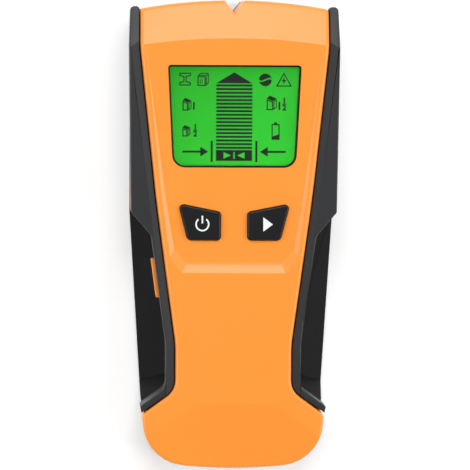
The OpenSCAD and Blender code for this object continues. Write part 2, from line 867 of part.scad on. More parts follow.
module battery_door() {
    tongue_l = 9;
    slit = 0.8;
    color(shell_black)
    difference() {
        union() {
            difference() {
                block([-door_half, door_low_y, z_sole], [door_half, hinge_y, door_top]);
                block([-overall_wid, door_cut_y, 0], [-door_knuckle_x - knuckle_w, hinge_y + over, z_floor]);
                block([door_knuckle_x + knuckle_w, door_cut_y, 0], [overall_wid, hinge_y + over, z_floor]);
                block([-door_knuckle_x, door_cut_y, 0], [door_knuckle_x, hinge_y + over, z_floor]);
            }
            both() translate([door_knuckle_x, hinge_y, hinge_z])
                rotate([0, 90, 0]) cylinder(r = knuckle_r, h = knuckle_w);
            // ribs under the battery
            both() block([bay_half - 4, battery_y + 6, door_top - 0.1],
                         [bay_half - 2.5, battery_top_y - 6, z_floor + door_rib_h]);
            // nib of the snap tongue
            block([-snap_tongue_half + slit, door_low_y, door_top - 0.1],
                  [snap_tongue_half - slit, door_low_y + 1.2, z_floor + 1.2]);
        }
        both() block([snap_tongue_half, door_low_y - over, z_sole - over],
                     [snap_tongue_half + slit, door_low_y + tongue_l, z_floor]);
        // thumb ridges
        for (i = [0 : 3])
            block([-snap_tongue_half + 1, door_low_y + 1.5 + i * 1.6, z_sole - over],
                  [snap_tongue_half - 1, door_low_y + 2.2 + i * 1.6, z_sole + 0.4]);
        hinge_bore();
    }
}

module door_pin() {
    pin_half = outer_ear_x + outer_ear_w;
    color("#c3c6c8")
    translate([-pin_half, hinge_y, hinge_z]) rotate([0, 90, 0]) cylinder(r = pin_r, h = 2 * pin_half);
}

module pad(centre, size) {
    corner_r = 2;
    half = size / 2;
    corners = [for (s = [[-1, 1], [1, 1], [1, -1], [-1, -1]])
        [centre[0] + s[0] * half[0], centre[1] + s[1] * half[1], corner_r]];
    prism(corners, 0, z_sole);
}

module glide_pads() {
    color("#44474b") both() {
        pad([head_half - 7, top_y - 31], [8, 26]);
        pad([bay_half + 8, flare_y + 4], [7, 14]);
    }
}

module cross_head_screw(head_r, head_h, shank_r, shank_l) {
    difference() {
        union() {
            cylinder(r = head_r, h = head_h);
            cylinder(r = shank_r, h = head_h + shank_l);
        }
        for (angle = [0, 90]) rotate(angle)
            translate([-head_r * 0.6, -0.35, -over]) cube([head_r * 1.2, 0.7, over + head_h * 0.5]);
    }
}

module case_screws() {
    color("#8f9294")
    for (spot = screw_spots)
        translate([spot[0], spot[1], z_screw_head])
            cross_head_screw(screw_head_r, screw_head_h, screw_r, screw_tip_z - z_screw_seat);
}

// ---- Display ----
module display_window() {
    color("#9fe3a6", 0.4)
    prism(grown(display_corners, -0.1), z_window, z_window + window_t);
}

module display_gasket() {
    color("#151515")
    difference() {
        prism(grown(display_corners, 0.5), z_frame, z_ceiling);
        prism(grown(display_corners, -window_ledge), z_frame - over, z_ceiling + over);
    }
}

module display_glass() {
    color("#22c838")
    block([-glass_half, glass_bottom_y, z_glass], [glass_half, glass_top_y, z_glass + glass_t]);
}

led_room = 1.8;
strip_margin = 0.4;
diffuser_gap = 0.3;
strip_zone = strip_margin + strip_w + diffuser_gap;

module display_diffuser() {
    color("#e9f6e6")
    block([-glass_half + led_room, glass_bottom_y + strip_zone, z_board],
          [glass_half, glass_top_y - strip_zone, z_glass - 0.2]);
}

module backlight_leds() {
    led = [1.3, 3, 1.2];
    color("#f4f2df")
    for (y = [display_bottom_y + display_h / 3, display_bottom_y + display_h * 2 / 3])
        translate([-glass_half + 0.2, y - led[1] / 2, z_board]) cube(led);
}

module display_frame() {
    color("#e4e4e0")
    difference() {
        intersection() {
            block([-frame_half, frame_bottom_y, z_board], [frame_half, frame_top_y, z_frame]);
            prism(grown(face_corners, -wall - frame_gap), z_board - over, z_frame + over);
        }
        block([-glass_half - glass_fit, glass_bottom_y - glass_fit, z_board - over],
              [glass_half + glass_fit, glass_top_y + glass_fit, z_frame - frame_lip]);
        prism(display_corners, z_board, z_frame + over);
    }
}

module contact_strips() {
    strip_half = display_bottom_half - 0.5;
    color("#3b3b3b")
    for (y = [glass_bottom_y + strip_margin, glass_top_y - strip_margin - strip_w])
        block([-strip_half, y, z_board], [strip_half, y + strip_w, z_glass]);
}

// ---- Keys and switches ----
key_r = 1.3;                        // round of a key's corners
key_foot_r = 1.8;                   // round of its outer bottom corner
key_corners = [
    [key_inner, key_y + key_up, key_r],
    [key_outer_top, key_y + key_up + key_rise, key_r],
    [key_outer_bottom, key_y - key_down, key_foot_r],
    [key_inner, key_y - key_down, key_r]
];

module face_key() {
    color(key_black) {
        prism(key_corners, z_skirt, z_dish + key_proud);
        prism(grown(key_corners, 0.9), z_skirt, z_skirt_top);
        translate([switch_x, key_y, z_stem]) cylinder(r = stem_r, h = z_skirt - z_stem);
    }
}

module mode_button() {
    face_key();
}

module power_button() {
    mirror([1, 0, 0]) face_key();
}

module switch_body() {
    half = switch_side / 2;
    color("#26282a")
    difference() {
        block([switch_x - half, key_y - half, z_board], [switch_x + half, key_y + half, z_switch]);
        translate([switch_x, key_y, z_board + 0.4])
            cylinder(r = plunger_r + plunger_gap, h = switch_h);
    }
}

module mode_switch() {
    switch_body();
}

module power_switch() {
    mirror([1, 0, 0]) switch_body();
}

module plunger() {
    color("#d9d4c6")
    translate([switch_x, key_y, z_switch - plunger_in])
        cylinder(r = plunger_r, h = z_stem - z_switch + plunger_in);
}

module mode_plunger() {
    plunger();
}

module power_plunger() {
    mirror([1, 0, 0]) plunger();
}

scan_low_y = scan_y - scan_len / 2;
scan_high_y = scan_y + scan_len / 2;
scan_inner_x = -(face_half(scan_switch_y) - wall);      // inner face of the shell at the switch
scan_face_x = scan_inner_x + scan_switch_back;          // front of the side switch

// Outline of the side key between two distances out from the orange face, on the left flank
function scan_outline(from, to, extra) = [
    [-face_half(scan_low_y - extra) - to, scan_low_y - extra, 0.4],
    [-face_half(scan_high_y + extra) - to, scan_high_y + extra, 0.4],
    [-face_half(scan_high_y + extra) - from, scan_high_y + extra, 0.4],
    [-face_half(scan_low_y - extra) - from, scan_low_y - extra, 0.4]
];

module scan_slot(gap) {
    prism(scan_outline(-wall - 2, band_half_out + 3, gap),
          scan_z - scan_h / 2 - gap, scan_z + scan_h / 2 + gap);
}

module scan_button() {
    skirt = 0.5;
    skirt_out = -wall - flange_gap;
    color(face_orange) {
        prism(scan_outline(skirt_out - flange_w, band_half_out + scan_proud, 0),
              scan_z - scan_h / 2, scan_z + scan_h / 2);
        prism(scan_outline(skirt_out - flange_w, skirt_out, 1),
              scan_z - scan_h / 2 - skirt, scan_z + scan_h / 2 + skirt);
        translate([scan_inner_x + flange_gap, scan_switch_y, scan_z]) rotate([0, 90, 0])
            cylinder(r = stem_r, h = scan_switch_back - flange_gap - stem_gap - scan_travel);
    }
}

module scan_switch() {
    half = switch_side / 2;
    color("#26282a")
    difference() {
        block([scan_face_x, scan_switch_y - half, z_board],
              [scan_face_x + scan_switch_depth, scan_switch_y + half, scan_z + 2.6]);
        translate([scan_face_x - over, scan_switch_y, scan_z]) rotate([0, 90, 0])
            cylinder(r = plunger_r + plunger_gap, h = scan_switch_depth - 0.8 + over);
    }
}

module scan_plunger() {
    color("#d9d4c6")
    translate([scan_face_x - stem_gap - scan_travel, scan_switch_y, scan_z]) rotate([0, 90, 0])
        cylinder(r = plunger_r, h = stem_gap + scan_travel + 2.6);
}

// ---- Electronics ----
module main_board() {
    right = [
        [face_top_half - board_inset, board_top_y, 1],
        [face_top_half - board_inset, taper_top_y, 5],
        [belly_half - board_inset, belly_y, 5],
        [face_half(board_bottom_y) - board_inset, board_bottom_y, 1]
    ];
    ends = concat(right, [for (i = [len(right) - 1 : -1 : 0]) [-right[i][0], right[i][1], right[i][2]]]);
    color("#1f6b3c")
    difference() {
        prism(ends, z_board_under, z_board);
        for (spot = board_screw_spots)
            translate([spot[0], spot[1], z_board_under - over])
                cylinder(r = small_screw_r + 0.1, h = board_t + 2 * over);
        link_holes(z_board_under - over, z_board + over);
    }
}

module board_screws() {
    color("#b9bcbe")
    for (spot = board_screw_spots)
        translate([spot[0], spot[1], z_board_under - small_head_h])
            cross_head_screw(small_head_r, small_head_h, small_screw_r, board_t + 5);
}

// A chip hanging under the main board, given by its middle and its size
module chip_under(spot, size) {
    translate([spot[0] - size[0] / 2, spot[1] - size[1] / 2, z_board_under - size[2]]) cube(size);
}

module processor() {
    body = [12, 12, 1.6];
    spot = [-4, coil_y + 6];
    color("#202124") {
        chip_under(spot, body);
        for (i = [-4 : 4]) {
            chip_under([spot[0] + i * 1.2, spot[1]], [0.5, body[1] + 3, 0.5]);
            chip_under([spot[0], spot[1] + i * 1.2], [body[0] + 3, 0.5, 0.5]);
        }
    }
}

module amplifiers() {
    color("#202124")
    for (spot = [[13, coil_y + 10], [13, coil_y], [-16, coil_y - 14]]) {
        chip_under(spot, [4, 5, 1.5]);
        for (i = [-1.5 : 1.5]) chip_under([spot[0], spot[1] + i * 1.27], [6, 0.5, 0.5]);
    }
}

module capacitors() {
    beside_screw = board_screw_spots[2] + [-0.5, 6.5];
    color("#8a6f4d")
    for (spot = [[-20, coil_y + 18], [-20, coil_y + 8], [-9, coil_y - 18], beside_screw])
        translate([spot[0], spot[1], z_board_under - 5.5]) cylinder(r = 2, h = 5.5);
}

module crystal() {
    half_l = 4;
    can_r = 2.2;
    can_h = 3.4;
    color("#c9ccce")
    translate([-4, coil_y - 8, z_board_under - can_h])
        linear_extrude(can_h) {
            square([2 * half_l, 2 * can_r], center = true);
            for (side = [-1, 1]) translate([side * half_l, 0]) circle(r = can_r);
        }
}

module buzzer() {
    buzzer_h = 6.5;
    color("#18191a")
    translate([buzzer_spot[0], buzzer_spot[1], z_board_under - buzzer_h])
        difference() {
            cylinder(r = 5.5, h = buzzer_h);
            translate([0, 0, -over]) cylinder(r = 1, h = over + 2);
        }
}

module link_holes(from, to) {
    for (i = [0 : link_pins_n - 1])
        translate([(i - (link_pins_n - 1) / 2) * link_pitch, link_y, from])
            cylinder(r = link_hole_r, h = to - from);
}

module link_header() {
    color("#1a1a1a")
    difference() {
        block([-link_half[0], link_y - link_half[1], z_board_under - link_header_h],
              [link_half[0], link_y + link_half[1], z_board_under]);
        link_holes(z_board_under - link_header_h - over, z_board_under + over);
    }
}

module link_socket() {
    color("#1a1a1a")
    difference() {
        block([-link_half[0], link_y - link_half[1], z_sensor_top],
              [link_half[0], link_y + link_half[1], z_sensor_top + link_socket_h]);
        link_holes(z_sensor_top + 0.6, z_sensor_top + link_socket_h + over);
    }
}

module link_pins() {
    low = z_sensor_top + 1;
    color("#c9a44a")
    for (i = [0 : link_pins_n - 1])
        translate([(i - (link_pins_n - 1) / 2) * link_pitch, link_y, low])
            cylinder(r = link_pin_r, h = z_board + 0.8 - low);
}

module sensor_board() {
    color("#1f6b3c")
    difference() {
        prism([for (s = [[-1, 1], [1, 1], [1, -1], [-1, -1]])
            [s[0] * sensor_half, s[1] > 0 ? sensor_top_y : sensor_bottom_y, 2]], z_sensor, z_sensor_top);
        for (spot = post_spots)
            translate([spot[0], spot[1], z_sensor - over])
                cylinder(r = small_screw_r + 0.1, h = board_t + 2 * over);
    }
}

module sensor_screws() {
    color("#b9bcbe")
    for (spot = post_spots)
        translate([spot[0], spot[1], z_sensor_top + small_head_h]) mirror([0, 0, 1])
            cross_head_screw(small_head_r, small_head_h, small_screw_r, board_t + sensor_lift + 0.8);
}

module sensor_plates() {
    plate = [19, 23, 0.2];
    color("#b8733a")
    for (x = [-1, 1]) for (y = [-1, 1])
        translate([x * 11.5 - plate[0] / 2, coil_y - 1 + y * 13.5 - plate[1] / 2, z_sensor - plate[2]])
            cube(plate);
}

bobbin_t = 1.2;
coil_w = 2.2;
bobbin_inner_r = bobbin_r - coil_w - 2 * bobbin_t;

module coil_bobbin() {
    color("#d8cfb4")
    translate([0, coil_y, z_sensor_top])
    difference() {
        ring(bobbin_r, bobbin_inner_r, bobbin_h);
        translate([0, 0, bobbin_t])
            ring(bobbin_r + over, bobbin_r - coil_w, bobbin_h - 2 * bobbin_t);
    }
}

module metal_coil() {
    gap = 0.1;
    color("#b8602a")
    translate([0, coil_y, z_sensor_top + bobbin_t + gap])
        ring(bobbin_r - 0.2, bobbin_r - coil_w + gap, bobbin_h - 2 * bobbin_t - 2 * gap);
}

module mains_antenna() {
    half = 18;
    wire_r = 0.5;
    wire_y = sensor_top_y - 2;
    wire_z = z_sensor_top + 3;
    color("#c9a44a") {
        translate([-half, wire_y, wire_z]) rotate([0, 90, 0]) cylinder(r = wire_r, h = 2 * half);
        both() {
            translate([half, wire_y, z_sensor_top]) cylinder(r = wire_r, h = wire_z - z_sensor_top);
            translate([half, wire_y, wire_z]) sphere(r = wire_r);
        }
    }
}

// ---- Power ----
terminal_x = 6.35;
stud_r = 2.8;
socket_r = 4.2;
stud_gap = 0.1;

module battery() {
    half = battery_w / 2;
    corners = [for (s = [[-1, 1], [1, 1], [1, -1], [-1, -1]])
        [s[0] * half, battery_mid_z + s[1] * battery_t / 2, 1.5]];
    color("#3c4043")
    translate([0, battery_top_y, 0]) rotate([90, 0, 0])
        linear_extrude(battery_l) polygon(rounded(corners));
}

// A ring or a stud along +Y at the battery's end
module end_ring(x, from_y, outer_r, inner_r, length) {
    translate([x, from_y, battery_mid_z]) rotate([-90, 0, 0])
        if (inner_r > 0) ring(outer_r, inner_r, length);
        else cylinder(r = outer_r, h = length);
}

module battery_terminals() {
    color("#c7cacc") {
        end_ring(terminal_x, battery_top_y, stud_r, 0, terminal_h - 0.3);
        end_ring(-terminal_x, battery_top_y, socket_r, stud_r + stud_gap, terminal_h - 0.3);
    }
}

module snap_terminals() {
    color("#c7cacc") {
        end_ring(terminal_x, battery_top_y + 0.4, socket_r, stud_r + stud_gap, terminal_h - 0.4);
        end_ring(-terminal_x, battery_top_y + 0.4, stud_r, 0, terminal_h - 0.4);
    }
}

module battery_snap() {
    half = [battery_w / 2 - 1, 6.2];
    corners = [for (s = [[-1, 1], [1, 1], [1, -1], [-1, -1]])
        [s[0] * half[0], battery_mid_z + s[1] * half[1], 4]];
    color("#141414")
    translate([0, snap_y + snap_t, 0]) rotate([90, 0, 0])
        linear_extrude(snap_t) polygon(rounded(corners));
}

// A lead leaves the snap, passes through the slot in the box and rises to the main board
lead_route = [
    [lead_x, snap_y + snap_t, battery_mid_z],
    [lead_x, bay_high_y + box_wall, battery_mid_z],
    [lead_x, bay_high_y + box_wall + 1.6, battery_mid_z + 0.4],
    [lead_x, board_bottom_y + 1, (battery_mid_z + z_board_under) / 2 + 0.3],
    [lead_x, board_bottom_y + 2, z_board_under - 1.6],
    [lead_x, board_bottom_y + 2, z_board_under]
];

// A round tube swept along a route that lies in a plane of constant x
module lead() {
    sides = 12;
    n = len(lead_route);
    rings = [for (i = [0 : n - 1])
        let (
            ahead = i < n - 1 ? unit(lead_route[i + 1] - lead_route[i]) : [0, 0, 0],
            behind = i > 0 ? unit(lead_route[i] - lead_route[i - 1]) : [0, 0, 0],
            along = unit(ahead + behind),
            up = cross([1, 0, 0], along)
        )
        [for (k = [0 : sides - 1])
            let (angle = 360 * k / sides)
            lead_route[i] + lead_r * (cos(angle) * [1, 0, 0] + sin(angle) * up)]];
    polyhedron(
        points = [for (r = rings) each r],
        faces = concat(
            [[for (k = [0 : sides - 1]) k]],
            [[for (k = [sides - 1 : -1 : 0]) (n - 1) * sides + k]],
            [for (i = [0 : n - 2]) for (k = [0 : sides - 1])
                [i * sides + k, (i + 1) * sides + k, (i + 1) * sides + (k + 1) % sides,
                 i * sides + (k + 1) % sides]]
        )
    );
}

module red_lead() {
    color("#c22a22") lead();
}

module black_lead() {
    color("#161616") mirror([1, 0, 0]) lead();
}

module battery_foam() {
    color("#2c2d2f")
    block([-battery_w / 2 + 4, battery_y + 8, z_bay_top - foam_t],
          [battery_w / 2 - 4, battery_top_y - 8, z_bay_top]);
}

front_shell();
rear_shell();
left_grip();
right_grip();
battery_door();
door_pin();
glide_pads();
case_screws();
display_window();
display_gasket();
display_glass();
display_diffuser();
backlight_leds();
display_frame();
contact_strips();
power_button();
mode_button();
scan_button();
power_switch();
mode_switch();
scan_switch();
power_plunger();
mode_plunger();
scan_plunger();
main_board();
board_screws();
processor();
amplifiers();
capacitors();
crystal();
buzzer();
link_header();
link_socket();
link_pins();
sensor_board();
sensor_screws();
sensor_plates();
coil_bobbin();
metal_coil();
mains_antenna();
battery();
battery_terminals();
battery_snap();
snap_terminals();
red_lead();
black_lead();
battery_foam();
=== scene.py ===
"""A hand-held stud finder with a backlit display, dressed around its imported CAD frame.

The frame gives every piece its place. The casing's pieces are copies of their CAD nodes with
rounded edges. The display's picture, its printed border and the keys' marks are modelled here.
Lengths are in metres, and a size given in millimetres is multiplied by MM.
"""

import logging
import math
from collections.abc import Callable, Iterator, Sequence
from contextlib import contextmanager
from dataclasses import dataclass, field
from enum import Enum

import bmesh
import bpy
from mathutils import Matrix, Vector

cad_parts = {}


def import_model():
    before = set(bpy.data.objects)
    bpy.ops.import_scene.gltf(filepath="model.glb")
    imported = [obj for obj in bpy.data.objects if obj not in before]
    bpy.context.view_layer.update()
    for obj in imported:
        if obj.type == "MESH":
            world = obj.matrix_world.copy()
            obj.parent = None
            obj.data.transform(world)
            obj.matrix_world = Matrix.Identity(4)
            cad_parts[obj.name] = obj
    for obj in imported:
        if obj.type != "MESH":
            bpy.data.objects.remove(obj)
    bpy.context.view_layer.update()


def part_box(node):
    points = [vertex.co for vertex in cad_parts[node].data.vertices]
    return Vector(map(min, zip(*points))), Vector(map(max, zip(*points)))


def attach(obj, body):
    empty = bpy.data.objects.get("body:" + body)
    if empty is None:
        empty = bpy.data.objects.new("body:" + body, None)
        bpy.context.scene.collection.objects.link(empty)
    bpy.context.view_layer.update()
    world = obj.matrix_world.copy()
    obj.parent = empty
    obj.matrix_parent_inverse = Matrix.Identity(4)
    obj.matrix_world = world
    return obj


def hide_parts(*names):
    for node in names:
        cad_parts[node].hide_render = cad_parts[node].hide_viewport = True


MM = 0.001

WALL_RISE = 0.35  # a wall's normal rises less than this
FACE_RISE = 0.6  # the normal of a face that looks up or down rises more than this
MERGE_MM = 0.002  # points closer than this are one point
FLAT_ANGLE = 0.6  # faces that bend less than this, in degrees, are one face
NORMAL_WEIGHT = 80  # how far a large face's normal wins over a small one's

log = logging.getLogger("stud_finder")

Point = tuple[float, float]
Socket = bpy.types.NodeSocket
Tree = bpy.types.NodeTree
Piece = bpy.types.Object
Edge = bmesh.types.BMEdge
Face = bmesh.types.BMFace
Node = bpy.types.Node
Material = bpy.types.Material


class Body(Enum):
    """The rigid bodies that a piece can ride on."""

    CASE = "case"
    POWER_KEY = "power_key"
    MODE_KEY = "mode_key"
    SCAN_KEY = "scan_key"
    DOOR = "door"


# ---- Materials ----


def linear(colour: str) -> tuple[float, float, float, float]:
    """Turns an sRGB colour into the linear one that a shader works with.

    Args:
        colour: The colour as six hex digits after a hash sign.

    Returns:
        Red, green, blue and an alpha of one.
    """
    shares = [int(colour[i : i + 2], 16) / 255 for i in (1, 3, 5)]
    red, green, blue = (s / 12.92 if s <= 0.04045 else ((s + 0.055) / 1.055) ** 2.4 for s in shares)
    return red, green, blue, 1.0


def add_node(
    tree: Tree,
    kind: str,
    settings: dict[str | int, object] | None = None,
    links: dict[str | int, Socket] | None = None,
) -> Node:
    """Adds a shader node with its settings and its links.

    Args:
        tree: The node tree that gets the node.
        kind: The node's Blender type.
        settings: Values by input name or number, or by the node's own property.
        links: Output sockets of other nodes, by the input that each one feeds.

    Returns:
        The new node.
    """
    node = tree.nodes.new(kind)
    for name, value in (settings or {}).items():
        if isinstance(name, int) or name in node.inputs:
            node.inputs[name].default_value = value
        else:
            setattr(node, name, value)
    for name, source in (links or {}).items():
        tree.links.new(source, node.inputs[name])
    return node


@dataclass(frozen=True)
class Finish:
    """What every finish has: a name, two close colours and how it answers light."""

    name: str
    colour: str
    second: str
    roughness: float = 0.5
    metallic: float = 0.0
    ior: float = 1.5
    coat: float = 0.0
    sheen: float = 0.0
    specular: float = 0.5
    drift_mm: float = 30.0
    wear_mm: float = 9.0
    wear_depth: float = 0.04

    def make(self) -> Material:
        """Builds the material.

        Returns:
            The material, with its colour, roughness and relief wired.
        """
        material = bpy.data.materials.new(self.name)
        material.use_nodes = True
        tree = material.node_tree
        shader = tree.nodes["Principled BSDF"]
        shader.inputs["Metallic"].default_value = self.metallic
        shader.inputs["IOR"].default_value = self.ior
        shader.inputs["Coat Weight"].default_value = self.coat
        shader.inputs["Sheen Weight"].default_value = self.sheen
        shader.inputs["Specular IOR Level"].default_value = self.specular
        place = add_node(tree, "ShaderNodeTexCoord").outputs["Object"]
        self.colour_it(tree, shader, place)
        self.roughen(tree, shader, place)
        self.emboss(tree, shader, place)
        return material

    def noise(self, tree: Tree, place: Socket, size_mm: float, detail: float = 2.0) -> Socket:
        """Adds a noise whose blotches are about one size across.

        Args:
            tree: The material's node tree.
            place: The coordinates that it follows.
            size_mm: The blotches' size in millimetres.
            detail: How many finer layers it has.

        Returns:
            The noise, from 0 to 1.
        """
        settings = {"Scale": 1 / (size_mm * MM), "Detail": detail, "Roughness": 0.55}
        return add_node(tree, "ShaderNodeTexNoise", settings, {"Vector": place}).outputs["Fac"]

    def between_colours(self, tree: Tree, shader: Node, share: Socket) -> None:
        """Wires the base colour as a blend of the finish's two colours."""
        settings = {"data_type": "RGBA", 6: linear(self.colour), 7: linear(self.second)}
        mix = add_node(tree, "ShaderNodeMix", settings, {0: share})
        tree.links.new(mix.outputs[2], shader.inputs["Base Color"])

    def colour_it(self, tree: Tree, shader: Node, place: Socket) -> None:
        """Lets the colour drift slowly over the surface, as a moulded or rolled one does."""
        self.between_colours(tree, shader, self.noise(tree, place, self.drift_mm))

    def roughen(self, tree: Tree, shader: Node, place: Socket) -> None:
        """Varies the roughness a little, as handling does."""
        least, most = self.roughness - self.wear_depth, self.roughness + self.wear_depth
        settings = {"To Min": least, "To Max": most}
        wear = self.noise(tree, place, self.wear_mm)
        vary = add_node(tree, "ShaderNodeMapRange", settings, {"Value": wear})
        tree.links.new(vary.outputs["Result"], shader.inputs["Roughness"])

    def emboss(self, tree: Tree, shader: Node, place: Socket) -> None:
        """Leaves the surface smooth: finishes with a relief say which."""

    def bump(self, tree: Tree, shader: Node, height: Socket, depth_mm: float) -> None:
        """Wires a relief of a given depth.

        Args:
            tree: The material's node tree.
            shader: The material's shader.
            height: The relief, from 0 to 1.
            depth_mm: Its depth in millimetres.
        """
        settings = {"Strength": 1.0, "Distance": depth_mm * MM}
        relief = add_node(tree, "ShaderNodeBump", settings, {"Height": height})
        tree.links.new(relief.outputs["Normal"], shader.inputs["Normal"])


@dataclass(frozen=True)
class MouldedPlastic(Finish):
    """Injection-moulded plastic: the mould's spark-eroded grain breaks up its highlights."""

    grain_mm: float = 0.35
    grain_depth_mm: float = 0.006

    def emboss(self, tree: Tree, shader: Node, place: Socket) -> None:
        """Adds the mould's grain, drawn coarser than the real 0.1 mm so that it shows."""
        self.bump(tree, shader, self.noise(tree, place, self.grain_mm, 3.0), self.grain_depth_mm)


@dataclass(frozen=True)
class ClearPlastic(Finish):
    """Clear cast plastic or glass: light passes, with a faint waviness in its reflections."""

    wave_mm: float = 14.0
    wave_depth_mm: float = 0.002

    def colour_it(self, tree: Tree, shader: Node, place: Socket) -> None:
        """Lets light through as well as tinting it."""
        super().colour_it(tree, shader, place)
        shader.inputs["Transmission Weight"].default_value = 1.0

    def roughen(self, tree: Tree, shader: Node, place: Socket) -> None:
        """Keeps the full polish, because the least haze would blur what lies behind."""
        shader.inputs["Roughness"].default_value = self.roughness

    def emboss(self, tree: Tree, shader: Node, place: Socket) -> None:
        """Adds the faint waves of a cast sheet, which only its reflections show."""
        self.bump(tree, shader, self.noise(tree, place, self.wave_mm), self.wave_depth_mm)


@dataclass(frozen=True)
class LitDisplay(Finish):
    """Display glass lit from behind: it turns brighter from the corner `low` to the corner `high`."""

    glow: float = 0.5
    low: Point = (-0.025, 0.060)
    high: Point = (0.025, 0.024)

    def colour_it(self, tree: Tree, shader: Node, place: Socket) -> None:
        """Blends the two greens from corner to corner and makes them glow."""
        across = add_node(tree, "ShaderNodeSeparateXYZ", None, {0: place})
        shares = []
        for axis, start, end in zip("XY", self.low, self.high):
            settings = {"From Min": start, "From Max": end}
            links = {"Value": across.outputs[axis]}
            shares.append(add_node(tree, "ShaderNodeMapRange", settings, links).outputs["Result"])
        settings = {"operation": "MULTIPLY_ADD", 1: 0.5, 2: 0.0}
        half = add_node(tree, "ShaderNodeMath", settings, {0: shares[0]}).outputs[0]
        settings = {"operation": "MULTIPLY_ADD", 1: 0.5}
        share = add_node(tree, "ShaderNodeMath", settings, {0: shares[1], 2: half}).outputs[0]
        self.between_colours(tree, shader, share)
        base = shader.inputs["Base Color"].links[0].from_socket
        tree.links.new(base, shader.inputs["Emission Color"])
        shader.inputs["Emission Strength"].default_value = self.glow


@dataclass(frozen=True)
class Felt(Finish):
    """Pressed wool felt: tangled fibres with a soft bloom at a low angle."""

    fibre_mm: float = 0.3
    fibre_depth_mm: float = 0.12

    def emboss(self, tree: Tree, shader: Node, place: Socket) -> None:
        """Adds the fibres, drawn at ten times their real width, all lying much the same way."""
        settings = {"Scale": (1.0, 0.35, 1.0), "Rotation": (0, 0, 0.6)}
        stretch = add_node(tree, "ShaderNodeMapping", settings, {0: place})
        fibres = self.noise(tree, stretch.outputs["Vector"], self.fibre_mm, 6.0)
        self.bump(tree, shader, fibres, self.fibre_depth_mm)


@dataclass(frozen=True)
class DrawnMetal(Finish):
    """Drawn, turned or plated metal: fine lines along X stretch its reflections."""

    line_mm: float = 0.12
    line_depth_mm: float = 0.004

    def emboss(self, tree: Tree, shader: Node, place: Socket) -> None:
        """Adds the drawing lines, at several times their real 0.02 mm."""
        stretch = add_node(tree, "ShaderNodeMapping", {"Scale": (0.05, 1.0, 1.0)}, {0: place})
        lines = self.noise(tree, stretch.outputs["Vector"], self.line_mm, 2.0)
        self.bump(tree, shader, lines, self.line_depth_mm)


@dataclass(frozen=True)
class WoundWire(Finish):
    """Enamelled copper wire wound in layers: a ridge for each turn."""

    wire_mm: float = 0.3

    def emboss(self, tree: Tree, shader: Node, place: Socket) -> None:
        """Adds one ridge per turn, up the coil's height."""
        ridges_per_unit = math.pi / (10 * self.wire_mm * MM)
        settings = {"Scale": ridges_per_unit, "bands_direction": "Z", "wave_profile": "SIN"}
        wave = add_node(tree, "ShaderNodeTexWave", settings, {"Vector": place})
        self.bump(tree, shader, wave.outputs["Fac"], self.wire_mm / 3)


@dataclass(frozen=True)
class CircuitBoard(Finish):
    """Glass-epoxy board under green solder mask: copper tracks show as paler raised lines."""

    track_mm: float = 2.4
    track_depth_mm: float = 0.035

    def colour_it(self, tree: Tree, shader: Node, place: Socket) -> None:
        """Draws the tracks as the borders of a square-cornered mosaic."""
        settings = {
            "Scale": 1 / (self.track_mm * MM),
            "distance": "CHEBYCHEV",
            "feature": "F1",
            "Randomness": 0.7,
        }
        cells = add_node(tree, "ShaderNodeTexVoronoi", settings, {"Vector": place})
        settings = {"From Min": 0.46, "From Max": 0.5}
        edge = add_node(tree, "ShaderNodeMapRange", settings, {"Value": cells.outputs["Distance"]})
        self.between_colours(tree, shader, edge.outputs["Result"])
        self.bump(tree, shader, edge.outputs["Result"], self.track_depth_mm)


@dataclass(frozen=True)
class OpenFoam(Finish):
    """Closed-cell foam rubber: small round cells all over."""

    cell_mm: float = 0.6
    cell_depth_mm: float = 0.15

    def emboss(self, tree: Tree, shader: Node, place: Socket) -> None:
        """Adds the cells."""
        settings = {"Scale": 1 / (self.cell_mm * MM)}
        cells = add_node(tree, "ShaderNodeTexVoronoi", settings, {"Vector": place})
        self.bump(tree, shader, cells.outputs["Distance"], self.cell_depth_mm)


@dataclass(frozen=True)
class LightTable(MouldedPlastic):
    """Opal sheet lit from below, which thins the shadows on it."""

    glow: float = 0.3

    def colour_it(self, tree: Tree, shader: Node, place: Socket) -> None:
        """Adds the light from below to the sheet's own white."""
        super().colour_it(tree, shader, place)
        shader.inputs["Emission Color"].default_value = linear("#FFFFFF")
        shader.inputs["Emission Strength"].default_value = self.glow


